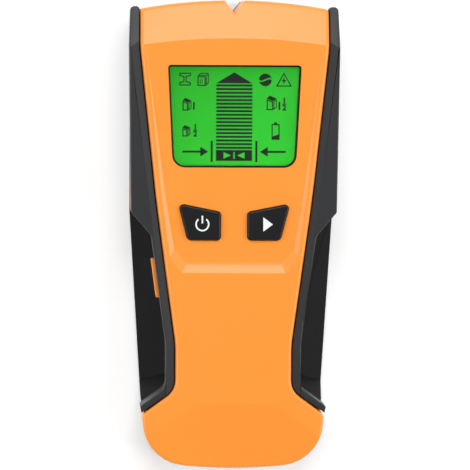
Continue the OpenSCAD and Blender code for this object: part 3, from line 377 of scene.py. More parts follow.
@dataclass(frozen=True)
class Finishes:
    """Every finish of the stud finder."""

    # ABS straight from a satin mould: bright, even orange with a soft sheen
    orange: Finish = MouldedPlastic("satin_orange_abs", "#FF9A3A", "#FC9634", 0.34, ior=1.53)
    # ABS from a finely eroded mould: near-black with little gloss; its colour is darker than the
    # plastic's own black, as painted shade for the side recesses
    black: Finish = MouldedPlastic(
        "eroded_black_abs_with_painted_shade", "#0B0B0C", "#0F0F10", 0.5, specular=0.12, grain_mm=0.5
    )
    # Soft-touch elastomer moulded over the sides: dry dark grey with a faint bloom
    grip: Finish = MouldedPlastic(
        "soft_touch_elastomer", "#212224", "#262729", 0.46, specular=0.5, grain_mm=0.45
    )
    # Silicone-coated keys: blacker and smoother than the grips
    key: Finish = MouldedPlastic("coated_black_key", "#131416", "#17181A", 0.36, specular=0.35)
    # Pad-printed ink: flat white with a slight grain
    mark: Finish = MouldedPlastic("pad_printed_white_ink", "#F4F4F2", "#EDEDEB", 0.6, grain_mm=0.2)
    # Cast acrylic: clear with a hard gloss
    window: Finish = ClearPlastic("cast_acrylic_window", "#F6FFF6", "#EEFCEE", 0.0, ior=1.49)
    # Screen-printed border behind the window
    border: Finish = MouldedPlastic("screen_printed_border", "#0D0E0D", "#121312", 0.5, grain_mm=0.2)
    # Display glass over a green light guide
    display: Finish = LitDisplay("backlit_display_glass", "#1AAE12", "#2ED330", 0.5, ior=1.52)
    # Dark display segments: they keep a hint of violet from the polariser
    segment: Finish = MouldedPlastic("dark_display_segments", "#140F16", "#1C141D", 0.5, grain_mm=0.2)
    # Pressed wool felt on the back
    felt: Finish = Felt("pressed_grey_felt", "#3C3F43", "#4A4D51", 0.95, sheen=0.4, drift_mm=2.0)
    # Zinc-plated steel of screws and pin
    steel: Finish = DrawnMetal("zinc_plated_steel", "#B9BBBD", "#A9ACAF", 0.34, 1.0)
    # Nickel-plated snap contacts
    nickel: Finish = DrawnMetal("nickel_plated_contact", "#CFCBC2", "#C2BEB6", 0.22, 1.0)
    # Gold-flashed link pins
    gold: Finish = DrawnMetal("gold_flashed_pin", "#D8B15C", "#CDA24C", 0.25, 1.0)
    # Copper foil and wire
    copper: Finish = DrawnMetal("bare_copper_foil", "#C77B4E", "#B86B41", 0.3, 1.0)
    # Enamelled magnet wire
    winding: Finish = WoundWire("enamelled_copper_winding", "#A9552A", "#8F451F", 0.3, 0.8, coat=0.5)
    # Solder mask on glass epoxy
    board: Finish = CircuitBoard("green_solder_mask", "#145230", "#2C7A4C", 0.35, coat=0.3)
    # Foam rubber of gasket and battery pad
    foam: Finish = OpenFoam("black_foam_rubber", "#1A1A1B", "#242425", 0.9, drift_mm=1.0)
    # Polycarbonate light guide and light-emitting diodes
    guide: Finish = MouldedPlastic("milky_light_guide", "#E4F2E1", "#DCEBD8", 0.3, grain_mm=0.8)
    # White and ivory nylon of frame, plungers and bobbin
    nylon: Finish = MouldedPlastic("natural_nylon", "#DEDBD0", "#D5D1C4", 0.45, grain_mm=0.6)
    # Black epoxy and nylon of chips, switches and connectors
    epoxy: Finish = MouldedPlastic("black_epoxy_moulding", "#1D1E20", "#26272A", 0.5, grain_mm=0.2)
    # Shrunk sleeve of the capacitors
    sleeve: Finish = MouldedPlastic("shrunk_sleeve", "#5B3A22", "#664329", 0.3, grain_mm=0.9)
    # Printed steel jacket of the battery
    jacket: Finish = MouldedPlastic("lacquered_steel_jacket", "#2B2F34", "#32373C", 0.3, 0.4)
    # Silicone insulation of the two leads
    red: Finish = MouldedPlastic("red_silicone_insulation", "#B3231C", "#A51D17", 0.4, grain_mm=0.8)


# ---- Modelling ----


def select_only(piece: Piece) -> None:
    """Makes a piece the only selected one, and the active one."""
    bpy.ops.object.select_all(action="DESELECT")
    piece.select_set(True)
    bpy.context.view_layer.objects.active = piece


@contextmanager
def editing(piece: Piece, mode: str = "FACE", whole: bool = False) -> Iterator[None]:
    """Opens a piece in edit mode with nothing selected, or all of it.

    Args:
        piece: The piece to edit.
        mode: What is selected in it: VERT, EDGE or FACE.
        whole: Whether all of it is selected.

    Yields:
        Nothing: the piece is in edit mode until the block ends.
    """
    select_only(piece)
    bpy.ops.object.mode_set(mode="EDIT")
    bpy.ops.mesh.select_mode(type=mode)
    bpy.ops.mesh.select_all(action="SELECT" if whole else "DESELECT")
    try:
        yield
    finally:
        bpy.ops.object.mode_set(mode="OBJECT")


def pick_edges(piece: Piece, wanted: Callable[[Edge], bool]) -> int:
    """Selects the edges of the piece in edit mode that pass a test.

    Args:
        piece: The piece, open in edit mode.
        wanted: The test.

    Returns:
        How many edges it selects.
    """
    mesh = bmesh.from_edit_mesh(piece.data)
    mesh.normal_update()
    chosen = [edge for edge in mesh.edges if len(edge.link_faces) == 2 and wanted(edge)]
    for edge in chosen:
        edge.select_set(True)
    mesh.select_flush_mode()
    bmesh.update_edit_mesh(piece.data)
    return len(chosen)


def pick_faces(piece: Piece, wanted: Callable[[Face], bool]) -> None:
    """Selects the faces of the piece in edit mode that pass a test."""
    mesh = bmesh.from_edit_mesh(piece.data)
    mesh.normal_update()
    for face in mesh.faces:
        if wanted(face):
            face.select_set(True)
    mesh.select_flush_mode()
    bmesh.update_edit_mesh(piece.data)


def pick_boundary(piece: Piece) -> None:
    """Selects the open edges of the piece in edit mode."""
    mesh = bmesh.from_edit_mesh(piece.data)
    for edge in mesh.edges:
        edge.select_set(edge.is_boundary)
    bmesh.update_edit_mesh(piece.data)


def node_copy(node: str, name: str, sliver_mm: float = 0.02) -> Piece:
    """Copies a CAD node's mesh into a new piece and joins its loose triangles into faces.

    Args:
        node: The CAD node.
        name: The piece's name.
        sliver_mm: The width up to which a sliver of a face is merged into its neighbours.

    Returns:
        The piece, standing where the node is.
    """
    piece = bpy.data.objects.new(name, bpy.data.objects[node].data.copy())
    bpy.context.scene.collection.objects.link(piece)
    piece.data.materials.clear()
    with editing(piece, whole=True):
        bpy.ops.mesh.remove_doubles(threshold=MERGE_MM * MM)
        bpy.ops.mesh.dissolve_limited(angle_limit=math.radians(FLAT_ANGLE))
        bpy.ops.mesh.select_all(action="SELECT")
        bpy.ops.mesh.dissolve_degenerate(threshold=sliver_mm * MM)
    if piece.data.has_custom_normals:
        bpy.ops.mesh.customdata_custom_splitnormals_clear()
    return piece


def apply_modifier(piece: Piece, kind: str, **settings: object) -> None:
    """Adds a modifier to a piece and applies it.

    Args:
        piece: The piece.
        kind: The modifier's Blender type.
        settings: The modifier's settings.
    """
    select_only(piece)
    modifier = piece.modifiers.new(kind.lower(), kind)
    for name, value in settings.items():
        setattr(modifier, name, value)
    bpy.ops.object.modifier_apply(modifier=modifier.name)


def smooth(piece: Piece, angle: float) -> None:
    """Shades a piece smooth except at its sharp edges, and keeps its flat faces flat.

    Args:
        piece: The piece.
        angle: The least angle of a sharp edge, in degrees.
    """
    select_only(piece)
    bpy.ops.object.shade_smooth_by_angle(angle=math.radians(angle))
    apply_modifier(piece, "WEIGHTED_NORMAL", keep_sharp=True, weight=NORMAL_WEIGHT)


def place_on(piece: Piece, body: Body, finish: Material) -> None:
    """Gives a finished piece its material and the body that it rides on.

    Args:
        piece: The finished piece.
        body: The body that it rides on.
        finish: Its material.
    """
    piece.data.materials.clear()
    piece.data.materials.append(finish)
    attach(piece, body.value)
    log.info("%s rides on %s", piece.name, body.value)


def drawn_outline(name: str, corners: list[Point], floor: float) -> Piece:
    """Draws a flat face: a small plane is merged to its first corner and pulled round the rest.

    Args:
        name: The piece's name.
        corners: Its corners in order, in metres.
        floor: The height that it lies at.

    Returns:
        The piece, with one face.
    """
    bpy.ops.object.select_all(action="DESELECT")
    bpy.ops.mesh.primitive_plane_add(size=MM, location=(*corners[0], floor))
    piece = bpy.context.active_object
    piece.name = name
    bpy.ops.object.transform_apply(location=True, rotation=False, scale=False)
    with editing(piece, "VERT", whole=True):
        bpy.ops.mesh.merge(type="CENTER")
        for start, end in zip(corners, corners[1:]):
            step = (end[0] - start[0], end[1] - start[1], 0)
            bpy.ops.mesh.extrude_vertices_move(TRANSFORM_OT_translate={"value": step})
        bpy.ops.mesh.select_all(action="SELECT")
        bpy.ops.mesh.edge_face_add()
    return piece


def raise_plate(piece: Piece, height: float) -> Piece:
    """Gives a flat piece its thickness, upwards, and turns its faces outwards."""
    with editing(piece, whole=True):
        bpy.ops.mesh.extrude_region_move(TRANSFORM_OT_translate={"value": (0, 0, height)})
        bpy.ops.mesh.select_all(action="SELECT")
        bpy.ops.mesh.normals_make_consistent(inside=False)
    return piece


def plate(name: str, corners: list[Point], floor: float, height: float) -> Piece:
    """Models a thin flat plate.

    Args:
        name: The piece's name.
        corners: Its corners in order, in metres.
        floor: The height of its underside.
        height: Its thickness.

    Returns:
        The plate.
    """
    return raise_plate(drawn_outline(name, corners, floor), height)


def hollow_plate(name: str, corners: list[Point], line: float, floor: float, height: float) -> Piece:
    """Models a thin plate with its middle cut out, which leaves a drawn line.

    Args:
        name: The piece's name.
        corners: Its outer corners in order, in metres.
        line: The width of the line that is left.
        floor: The height of its underside.
        height: Its thickness.

    Returns:
        The plate.
    """
    piece = drawn_outline(name, corners, floor)
    with editing(piece, whole=True):
        bpy.ops.mesh.inset(thickness=line)
        bpy.ops.mesh.delete(type="ONLY_FACE")
    return raise_plate(piece, height)


def repeated(piece: Piece, step: Point, count: int) -> list[Piece]:
    """Copies a piece along a straight row, each copy with its own mesh.

    Args:
        piece: The first of the row.
        step: The way from one to the next.
        count: How many the row has.

    Returns:
        The whole row.
    """
    row = [piece]
    for i in range(1, count):
        twin = bpy.data.objects.new(piece.name, piece.data.copy())
        bpy.context.scene.collection.objects.link(twin)
        with editing(twin, whole=True):
            bpy.ops.transform.translate(value=(step[0] * i, step[1] * i, 0))
        row.append(twin)
    return row


def joined(name: str, pieces: list[Piece]) -> Piece:
    """Joins pieces into one, under a new name."""
    bpy.ops.object.select_all(action="DESELECT")
    for piece in pieces:
        piece.select_set(True)
    bpy.context.view_layer.objects.active = pieces[0]
    bpy.ops.object.join()
    pieces[0].name = name
    return pieces[0]


# ---- Casing ----


def edge_middle(edge: Edge) -> Vector:
    """Gives the middle of an edge."""
    return (edge.verts[0].co + edge.verts[1].co) / 2


@dataclass(frozen=True)
class Round:
    """One bevel: its width, its steps, the test that its edges pass and how full it is."""

    width_mm: float
    steps: int
    test: Callable[[Edge], bool]
    fullness: float = 0.5

    def cut(self, piece: Piece) -> None:
        """Bevels the piece's edges that pass the test."""
        with editing(piece, "EDGE"):
            if pick_edges(piece, self.test):
                bpy.ops.mesh.bevel(
                    offset=self.width_mm * MM,
                    segments=self.steps,
                    profile=self.fullness,
                    clamp_overlap=False,
                )


@dataclass
class RoundedNode:
    """A CAD node's copy whose creases and rims are rounded, as a mould leaves them.

    Edges near the node in `sharp_near` are left alone: they frame a small opening for it.
    Known fault: a bevel isn't clamped, so it overshoots where the edges are shorter than it is wide,
    as at the hinge, the catch and the sound holes on the back.
    """

    node: str
    body: Body
    slot: str
    finish: Material
    rim_mm: float = 0.4
    rim_steps: int = 4
    crease_mm: float = 0.25
    crease_steps: int = 2
    least_crease: float = 4.0
    most_crease: float = 40.0
    sliver_mm: float = 0.02
    sharp_angle: float = 32.0
    sharp_near: str | None = None
    sharp_reach_mm: float = 2.0
    low: Vector = field(init=False)
    high: Vector = field(init=False)
    clear: tuple[Vector, Vector] | None = field(init=False, default=None)

    def __post_init__(self) -> None:
        """Takes the node's box and the box that is kept clear."""
        self.low, self.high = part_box(self.node)
        if self.sharp_near:
            self.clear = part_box(self.sharp_near)

    def is_crease(self, edge: Edge) -> bool:
        """Tells a shallow crease between two faces that both look up."""
        bend = edge.calc_face_angle(0)
        shallow = math.radians(self.least_crease) < bend < math.radians(self.most_crease)
        return shallow and all(face.normal.z > FACE_RISE for face in edge.link_faces)

    def is_rim(self, edge: Edge) -> bool:
        """Tells a convex edge between a wall and a face that looks up or down."""
        wall, face = sorted(abs(face.normal.z) for face in edge.link_faces)
        steep = wall < WALL_RISE and face > FACE_RISE and edge.is_convex
        return steep and not self.is_kept_sharp(edge)

    def is_kept_sharp(self, edge: Edge) -> bool:
        """Tells an edge that lies close to the node that is kept clear."""
        if self.clear is None:
            return False
        (low, high), middle, reach = self.clear, edge_middle(edge), self.sharp_reach_mm * MM
        return all(low[i] - reach < middle[i] < high[i] + reach for i in range(3))

    def rounds(self) -> list[Round]:
        """Lists the rounds in order: the creases first and the rims after them."""
        return [
            Round(self.crease_mm, self.crease_steps, self.is_crease),
            Round(self.rim_mm, self.rim_steps, self.is_rim),
        ]

    def build(self) -> None:
        """Builds the copy, lets it stand for its node and dresses it."""
        piece = node_copy(self.node, f"{self.node}_moulding", self.sliver_mm)
        for bevel in self.rounds():
            bevel.cut(piece)
        smooth(piece, self.sharp_angle)
        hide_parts(self.node)
        place_on(piece, self.body, self.finish)


@dataclass
class Grip(RoundedNode):
    """A side grip: its rims are wider, and broad slivers of its faces are merged first."""

    rim_mm: float = 0.45
    sliver_mm: float = 0.15


@dataclass
class FrontShell(RoundedNode):
    """The orange front shell: its base, dish, ramp and outline have their own rounds.

    The crease of the top facet stays crisp. A reach is how far a region runs: `notch_reach_mm` and
    `facet_reach_mm` down from the top, `base_reach_mm` and `ramp_reach_mm` up from the lower end.
    A depth is how far below the face an edge may lie. An edge runs across if it is `across_ratio`
    times wider than long.
    """

    sharp_angle: float = 15.0
    outline_mm: float = 1.2
    outline_steps: int = 7
    outline_depth_mm: float = 12.0
    wall_depth_mm: float = 10.0
    base_mm: float = 0.45
    base_steps: int = 4
    base_fullness: float = 0.2
    dish_mm: float = 0.35
    dish_steps: int = 3
    ramp_mm: float = 0.9
    ramp_steps: int = 5
    fold_depth_mm: float = 2.5
    notch_reach_mm: float = 7.0
    notch_half_share: float = 0.62
    facet_reach_mm: float = 16.0
    base_reach_mm: float = 60.0
    ramp_reach_mm: float = 79.0
    across_ratio: float = 3.0

    def is_fold(self, edge: Edge) -> bool:
        """Tells a crease of the outer face."""
        outside = edge_middle(edge).z > self.high.z - self.fold_depth_mm * MM
        return outside and self.is_crease(edge)

    def in_base(self, edge: Edge) -> bool:
        """Tells a crease of the outer face below the dish."""
        return self.is_fold(edge) and edge_middle(edge).y < self.low.y + self.base_reach_mm * MM

    def in_dish(self, edge: Edge) -> bool:
        """Tells a crease of the outer face between the top facet and the base."""
        start, end = self.low.y + self.base_reach_mm * MM, self.high.y - self.facet_reach_mm * MM
        return self.is_fold(edge) and start < edge_middle(edge).y < end

    def in_ramp(self, edge: Edge) -> bool:
        """Tells a crease that runs across the ramp at the dish's lower end."""
        way = edge.verts[1].co - edge.verts[0].co
        low_enough = edge_middle(edge).y < self.low.y + self.ramp_reach_mm * MM
        return self.in_dish(edge) and low_enough and abs(way.x) > self.across_ratio * abs(way.y)

    def in_notch(self, edge: Edge) -> bool:
        """Tells an edge of the marking notch."""
        middle, reach = edge_middle(edge), self.notch_reach_mm * MM
        return middle.y > self.high.y - reach and abs(middle.x) < self.notch_half_share * reach

    def is_outline(self, edge: Edge) -> bool:
        """Tells a rim of the outer face whose wall runs far down, apart from the notch."""
        top = self.high.z
        walls = [face for face in edge.link_faces if abs(face.normal.z) < WALL_RISE]
        foot = top - self.wall_depth_mm * MM
        deep = any(min(v.co.z for v in wall.verts) < foot for wall in walls)
        near = edge_middle(edge).z > top - self.outline_depth_mm * MM
        return self.is_rim(edge) and deep and near and not self.in_notch(edge)

    def rounds(self) -> list[Round]:
        """Lists the rounds: the base, the ramp, the rest of the dish and the outline."""
        return [
            Round(self.base_mm, self.base_steps, self.in_base, self.base_fullness),
            Round(self.ramp_mm, self.ramp_steps, self.in_ramp),
            Round(
                self.dish_mm,
                self.dish_steps,
                lambda edge: self.in_dish(edge) and not self.in_ramp(edge),
            ),
            Round(self.outline_mm, self.outline_steps, self.is_outline),
        ]


@dataclass
class Casing:
    """Both shells, the grips, the battery door and the felt on the back."""

    finishes: Finishes

    def build(self) -> None:
        """Builds every outside piece."""
        orange = self.finishes.orange.make()
        black = self.finishes.black.make()
        grip = self.finishes.grip.make()
        felt = self.finishes.felt.make()
        parts = [
            FrontShell("front_shell", Body.CASE, "orange_plastic", orange),
            RoundedNode("rear_shell", Body.CASE, "black_plastic", black, rim_mm=0.3),
            Grip("left_grip", Body.CASE, "soft_grip", grip, sharp_near="scan_button"),
            Grip("right_grip", Body.CASE, "soft_grip", grip),
            RoundedNode("battery_door", Body.DOOR, "black_plastic", black, rim_mm=0.15),
            RoundedNode("scan_button", Body.SCAN_KEY, "orange_plastic", orange, rim_mm=0.3),
            RoundedNode("glide_pads", Body.CASE, "felt", felt, rim_mm=0.25),
        ]
        for part in parts:
            part.build()


# ---- Display ----


@dataclass(frozen=True)
class Spot:
    """An icon's place and size in millimetres: its left and low edge, its width and its height."""

    left: float
    low: float
    width: float
    height: float

    @property
    def right(self) -> float:
        """Gives the right edge."""
        return self.left + self.width

    @property
    def top(self) -> float:
        """Gives the top edge."""
        return self.low + self.height

    def frame(self) -> list[Point]:
        """Gives the four corners in order."""
        left, low, right, top = self.left, self.low, self.right, self.top
        return [(left, low), (right, low), (right, top), (left, top)]


@dataclass
class Display:
    """The window with its printed border, and the picture that the display shows.

    The picture's sizes are millimetres from the middle of the window.
    """

    finishes: Finishes
    line_mm: float = 0.38
    fine_line_mm: float = 0.28
    thickness_mm: float = 0.08
    lift_mm: float = 0.02
    border_mm: float = 0.55
    border_lift_mm: float = 0.1
    border_thickness_mm: float = 0.04
    bars: int = 18
    bar_half: float = 6.35
    bar_h: float = 0.74
    bar_pitch: float = 1.289
    first_bar: float = 10.8
    middle: Vector = field(init=False)

    def __post_init__(self) -> None:
        """Takes the picture's middle from the window and its height from the display glass."""
        low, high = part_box("display_window")
        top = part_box("display_glass")[1].z + self.lift_mm * MM
        self.middle = Vector(((low.x + high.x) / 2, (low.y + high.y) / 2, top))

    def build(self) -> None:
        """Builds the picture, its lit mark and the border."""
        segments = self.scale() + self.arrows() + self.icons() + self.numbers()
        picture = joined("display_segments", segments)
        place_on(picture, Body.CASE, self.finishes.segment.make())
        place_on(self.centre_mark(), Body.CASE, self.finishes.display.make())
        self.print_border()

    def print_border(self) -> None:
        """Builds the black border printed behind the window's edge."""
        piece = node_copy("display_window", "window_border")
        with editing(piece):
            pick_faces(piece, lambda face: face.normal.z > -0.9)
            bpy.ops.mesh.delete(type="FACE")
            bpy.ops.mesh.select_all(action="SELECT")
            bpy.ops.mesh.inset(thickness=self.border_mm * MM)
            bpy.ops.mesh.delete(type="FACE")
            bpy.ops.mesh.select_all(action="SELECT")
            bpy.ops.transform.translate(value=(0, 0, self.border_lift_mm * MM))
        apply_modifier(piece, "SOLIDIFY", thickness=self.border_thickness_mm * MM)
        place_on(piece, Body.CASE, self.finishes.border.make())

    def placed(self, corners: list[Point]) -> list[Point]:
        """Turns millimetres from the window's middle into places in metres."""
        return [(self.middle.x + x * MM, self.middle.y + y * MM) for x, y in corners]

    def solid(self, corners: list[Point], storey: int = 0) -> Piece:
        """Models a filled segment.

        Args:
            corners: Its corners in millimetres.
            storey: How many thicknesses it lies above the display.

        Returns:
            The segment.
        """
        thick = self.thickness_mm * MM
        return plate("segment", self.placed(corners), self.middle.z + storey * thick, thick)

    def strip(self, low: Point, high: Point, storey: int = 0) -> Piece:
        """Models a rectangular segment between two corners."""
        return self.solid([low, (high[0], low[1]), high, (low[0], high[1])], storey)

    def drawn(self, corners: list[Point], line_mm: float | None = None) -> Piece:
        """Models a segment that is only a line round its corners."""
        line = (line_mm or self.line_mm) * MM
        thick = self.thickness_mm * MM
        return hollow_plate("segment", self.placed(corners), line, self.middle.z, thick)

    def scale(self) -> list[Piece]:
        """Models the signal bars, the pointer over them and the block under them."""
        half, rise = self.bar_half, self.bar_h / 2
        bar = self.strip((-half, self.first_bar - rise), (half, self.first_bar + rise))
        bars = repeated(bar, (0, -self.bar_pitch * MM), self.bars)
        pointer = self.solid([(-half, 11.55), (half, 11.55), (0, 15.4)])
        block = self.strip((-half, -15.7), (half, -11.9))
        return [*bars, pointer, block]

    def centre_mark(self) -> Piece:
        """Models the lit mark on the block: two points that meet at a middle line."""
        middle, half = -13.8, 1.15
        marks = [self.strip((-0.25, middle - half), (0.25, middle + half), 1)]
        for side in (-1, 1):
            corners = [(side * 3.7, middle - half), (side * 1.1, middle), (side * 3.7, middle + half)]
            marks.append(self.solid(corners[::side], 1))
        return joined("centre_mark", marks)

    def arrows(self) -> list[Piece]:
        """Models the two arrows and the edge lines that they point at."""
        middle, shaft, head = -12.5, 0.34, 1.7
        tail, neck, tip = 18.2, 11.9, 9.1
        pieces = []
        for side in (-1, 1):
            corners = [
                (side * tail, middle - shaft),
                (side * neck, middle - shaft),
                (side * neck, middle - head),
                (side * tip, middle),
                (side * neck, middle + head),
                (side * neck, middle + shaft),
                (side * tail, middle + shaft),
            ]
            pieces.append(self.solid(corners[::side]))
            inner, outer = sorted((side * 7.5, side * 8.2))
            pieces.append(self.strip((inner, -16.1), (outer, -8.7)))
        return pieces

    def stud_icon(self, left: float, low: float, size: float) -> list[Piece]:
        """Models a stud in perspective: its sawn end, its dark top and its far side.

        Args:
            left: The icon's left edge in millimetres.
            low: Its lowest point in millimetres.
            size: Its height in millimetres.

        Returns:
            The segments.
        """
        end = [(0, 0), (0.44, 0), (0.44, 0.57), (0, 0.76)]
        top = [(0, 0.79), (0.44, 0.6), (0.7, 0.79), (0.21, 1)]
        side = [(0.47, 0), (0.7, 0.19), (0.7, 0.76), (0.47, 0.58)]
        end, top, side = ([(left + x * size, low + y * size) for x, y in f] for f in (end, top, side))
        return [self.drawn(end), self.solid(top), self.drawn(side, self.fine_line_mm)]

    def brick_icon(self, front: Spot) -> list[Piece]:
        """Models a block in perspective with its grain, round the spot of its front."""
        lean, gap = 1.15, 0.15
        left, low, right, top = front.left, front.low, front.right, front.top
        lid = [
            (left, top + gap),
            (right, top + gap),
            (right + lean, top + lean),
            (left + lean, top + lean),
        ]
        side = [
            (right + gap, low),
            (right + lean, low + lean),
            (right + lean, top + 0.9),
            (right + gap, top),
        ]
        grain = self.strip((left + 0.9, low + 0.8), (left + 1.15, top - 0.9))
        return [
            self.drawn(front.frame()),
            self.drawn(lid, self.fine_line_mm),
            self.drawn(side, self.fine_line_mm),
            *repeated(grain, (0.65 * MM, 0), 2),
        ]

    def beam_icon(self, spot: Spot) -> Piece:
        """Models the drawn end of a steel beam."""
        width, height = spot.width, spot.height
        flange, web = 0.24 * height, 0.36 * width
        half = [(0, 0), (width, 0), (width, flange), (width - web, 1.4 * flange)]
        corners = half + [(x, height - y) for x, y in half[:0:-1]]
        corners += [(0, height), (0, height - flange), (web, height - 1.4 * flange)]
        corners += [(web, 1.4 * flange), (0, flange)]
        return self.drawn([(spot.left + x, spot.low + y) for x, y in corners])

    def battery_icon(self, spot: Spot) -> list[Piece]:
        """Models the battery that has a little charge left."""
        left, low, right, top, inner = spot.left, spot.low, spot.right, spot.top, 0.3
        charge = [
            (left + inner, low + inner),
            (right - inner, low + inner),
            (right - inner, low + 0.34 * spot.height),
            (left + inner, low + 0.2 * spot.height),
        ]
        neck = 0.32 * spot.width
        tip = self.strip((left + neck, top - 0.1), (right - neck, top + 0.6))
        return [self.drawn(spot.frame()), self.solid(charge), tip]

    def icons(self) -> list[Piece]:
        """Models the icons: beam, block, studs, wave, voltage and battery."""
        warning = [(14.6, 10.5), (20.3, 10.5), (17.45, 15.4)]
        bolt = [(17.8, 14.0), (16.6, 12.3), (17.4, 12.3), (17.1, 11.1), (18.3, 12.8), (17.5, 12.8)]
        return [
            self.beam_icon(Spot(-19.4, 10.7, 4.1, 4.5)),
            *self.brick_icon(Spot(-13.0, 10.6, 2.9, 3.4)),
            *self.stud_icon(-18.2, 1.9, 4.5),
            *self.stud_icon(-18.2, -7.2, 4.0),
            *self.stud_icon(11.4, 2.2, 5.1),
            *self.wave_icon((10.9, 12.8), 2.2),
            self.drawn(warning),
            self.solid(bolt),
            *self.battery_icon(Spot(13.2, -8.2, 2.8, 5.5)),
        ]

    def wave_icon(self, centre: Point, radius: float) -> list[Piece]:
        """Models the mains sign: a disc parted by one wave.

        Args:
            centre: Its middle in millimetres.
            radius: Its radius in millimetres.

        Returns:
            The upper and the lower half.
        """
        steps, gap, wave_h = 12, 0.24, 0.5
        halves = []
        for side in (-1, 1):
            turns = [math.pi * i / steps for i in range(steps + 1)]
            arc = [
                (radius * math.cos(turn), side * (gap + (radius - gap) * math.sin(turn)))
                for turn in turns
            ]
            wave = [
                (-radius * math.cos(turn), side * gap - wave_h * math.sin(2 * turn))
                for turn in turns[1:-1]
            ]
            corners = [(centre[0] + x, centre[1] + y) for x, y in arc + wave]
            halves.append(self.solid(corners[::side]))
        return halves

    def numbers(self) -> list[Piece]:
        """Models the plain numbers beside the studs."""
        return [
            self.number("1", (-14.2, 3.6), 3.6),
            *self.half_sign((-13.7, -5.0)),
            self.number("1", (15.9, 3.7), 3.9),
            *self.half_sign((17.6, 4.3)),
        ]

    def half_sign(self, middle: Point) -> list[Piece]:
        """Models one over two.

        Args:
            middle: The fraction's middle in millimetres.

        Returns:
            Both numbers and the stroke between them.
        """
        (x, y), size, apart, half, rise = middle, 2.7, 1.2, 0.8, 0.13
        stroke = self.strip((x - half, y - rise), (x + half, y + rise))
        return [self.number("1", (x, y + apart), size), self.number("2", (x, y - apart), size), stroke]

    def number(self, text: str, middle: Point, size: float) -> Piece:
        """Models a number as a segment.

        Args:
            text: The number.
            middle: Its middle in millimetres.
            size: The letter size in millimetres.

        Returns:
            The segment.
        """
        (x, y), half = self.placed([middle])[0], self.thickness_mm * MM / 2
        bpy.ops.object.select_all(action="DESELECT")
        bpy.ops.object.text_add(location=(0, 0, 0))
        label = bpy.context.active_object
        label.data.body = text
        label.data.size = size * MM
        label.data.extrude = half
        label.data.offset = 0.1 * MM
        bpy.ops.object.convert(target="MESH")
        bpy.ops.object.origin_set(type="ORIGIN_GEOMETRY", center="BOUNDS")
        label.location = (x, y, self.middle.z + half)
        bpy.ops.object.transform_apply(location=True, rotation=False, scale=False)
        with editing(label, whole=True):
            bpy.ops.mesh.remove_doubles(threshold=0.001 * MM)
        return label


# ---- Keys ----


@dataclass
class Keys:
    """The two face keys and their printed marks. An inset is measured from a key's inner edge."""

    finishes: Finishes
    rim_mm: float = 0.55
    mark_h: float = 0.06 * MM
    sign_inset_mm: float = 7.3
    sign_drop_mm: float = 0.6
    ring_outer_mm: float = 2.5
    ring_inner_mm: float = 1.95
    ring_opening: float = 38.0
    ring_steps: int = 20
    arrow_inset_mm: float = 6.3
    arrow_foot_mm: float = 3.9
    arrow_w_mm: float = 3.4
    arrow_h_mm: float = 5.1

    def build(self) -> None:
        """Builds both key caps and both marks."""
        cap = self.finishes.key.make()
        ink = self.finishes.mark.make()
        keys = {"power_button": Body.POWER_KEY, "mode_button": Body.MODE_KEY}
        for node, body in keys.items():
            RoundedNode(node, body, "key_plastic", cap, rim_mm=self.rim_mm).build()
        place_on(self.power_mark(), Body.POWER_KEY, ink)
        place_on(self.arrow_mark(), Body.MODE_KEY, ink)

    def power_mark(self) -> Piece:
        """Models the power sign: an open ring with a stroke in its gap."""
        low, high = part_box("power_button")
        x, y = high.x - self.sign_inset_mm * MM, (low.y + high.y) / 2 - self.sign_drop_mm * MM
        start, turn = 90 + self.ring_opening, 360 - 2 * self.ring_opening
        steps = range(self.ring_steps + 1)
        angles = [math.radians(start + turn * i / self.ring_steps) for i in steps]
        outer, inner = self.ring_outer_mm * MM, self.ring_inner_mm * MM
        ring = [(x + outer * math.cos(a), y + outer * math.sin(a)) for a in angles]
        ring += [(x + inner * math.cos(a), y + inner * math.sin(a)) for a in angles[::-1]]
        half, foot, top = 0.28 * MM, 0.3 * MM, 3.0 * MM
        stroke = [(x - half, y + foot), (x + half, y + foot), (x + half, y + top), (x - half, y + top)]
        pieces = [plate("mark", outline, high.z, self.mark_h) for outline in (ring, stroke)]
        return joined("power_mark", pieces)

    def arrow_mark(self) -> Piece:
        """Models the triangle that points right."""
        low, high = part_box("mode_button")
        left, foot = low.x + self.arrow_inset_mm * MM, low.y + self.arrow_foot_mm * MM
        tip = (left + self.arrow_w_mm * MM, foot + self.arrow_h_mm / 2 * MM)
        corners = [(left, foot), tip, (left, foot + self.arrow_h_mm * MM)]
        return plate("mode_mark", corners, high.z, self.mark_h)


# ---- Everything that keeps its CAD shape ----


@dataclass
class Workings:
    """The pieces inside and the fasteners, which keep their CAD meshes."""

    finishes: Finishes

    def dress(self) -> None:
        """Gives each node the material of its real one."""
        groups = {
            self.finishes.window: ["display_window"],
            self.finishes.display: ["display_glass"],
            self.finishes.foam: ["display_gasket", "battery_foam", "contact_strips"],
            self.finishes.guide: ["display_diffuser", "backlight_leds"],
            self.finishes.nylon: [
                "display_frame", "power_plunger", "mode_plunger", "scan_plunger", "coil_bobbin",
            ],
            self.finishes.epoxy: [
                "power_switch", "mode_switch", "scan_switch", "processor", "amplifiers", "buzzer",
                "link_header", "link_socket", "battery_snap", "black_lead",
            ],
            self.finishes.board: ["main_board", "sensor_board"],
            self.finishes.steel: [
                "case_screws", "board_screws", "sensor_screws", "door_pin", "crystal",
            ],
            self.finishes.nickel: ["battery_terminals", "snap_terminals"],
            self.finishes.gold: ["link_pins"],
            self.finishes.copper: ["sensor_plates", "mains_antenna"],
            self.finishes.winding: ["metal_coil"],
            self.finishes.sleeve: ["capacitors"],
            self.finishes.jacket: ["battery"],
            self.finishes.red: ["red_lead"],
        }
        for finish, nodes in groups.items():
            material = finish.make()
            for node in nodes:
                piece = bpy.data.objects[node]
                piece.data.materials.clear()
                piece.data.materials.append(material)
                log.info("%s gets %s", node, finish.name)


# ---- Studio ----


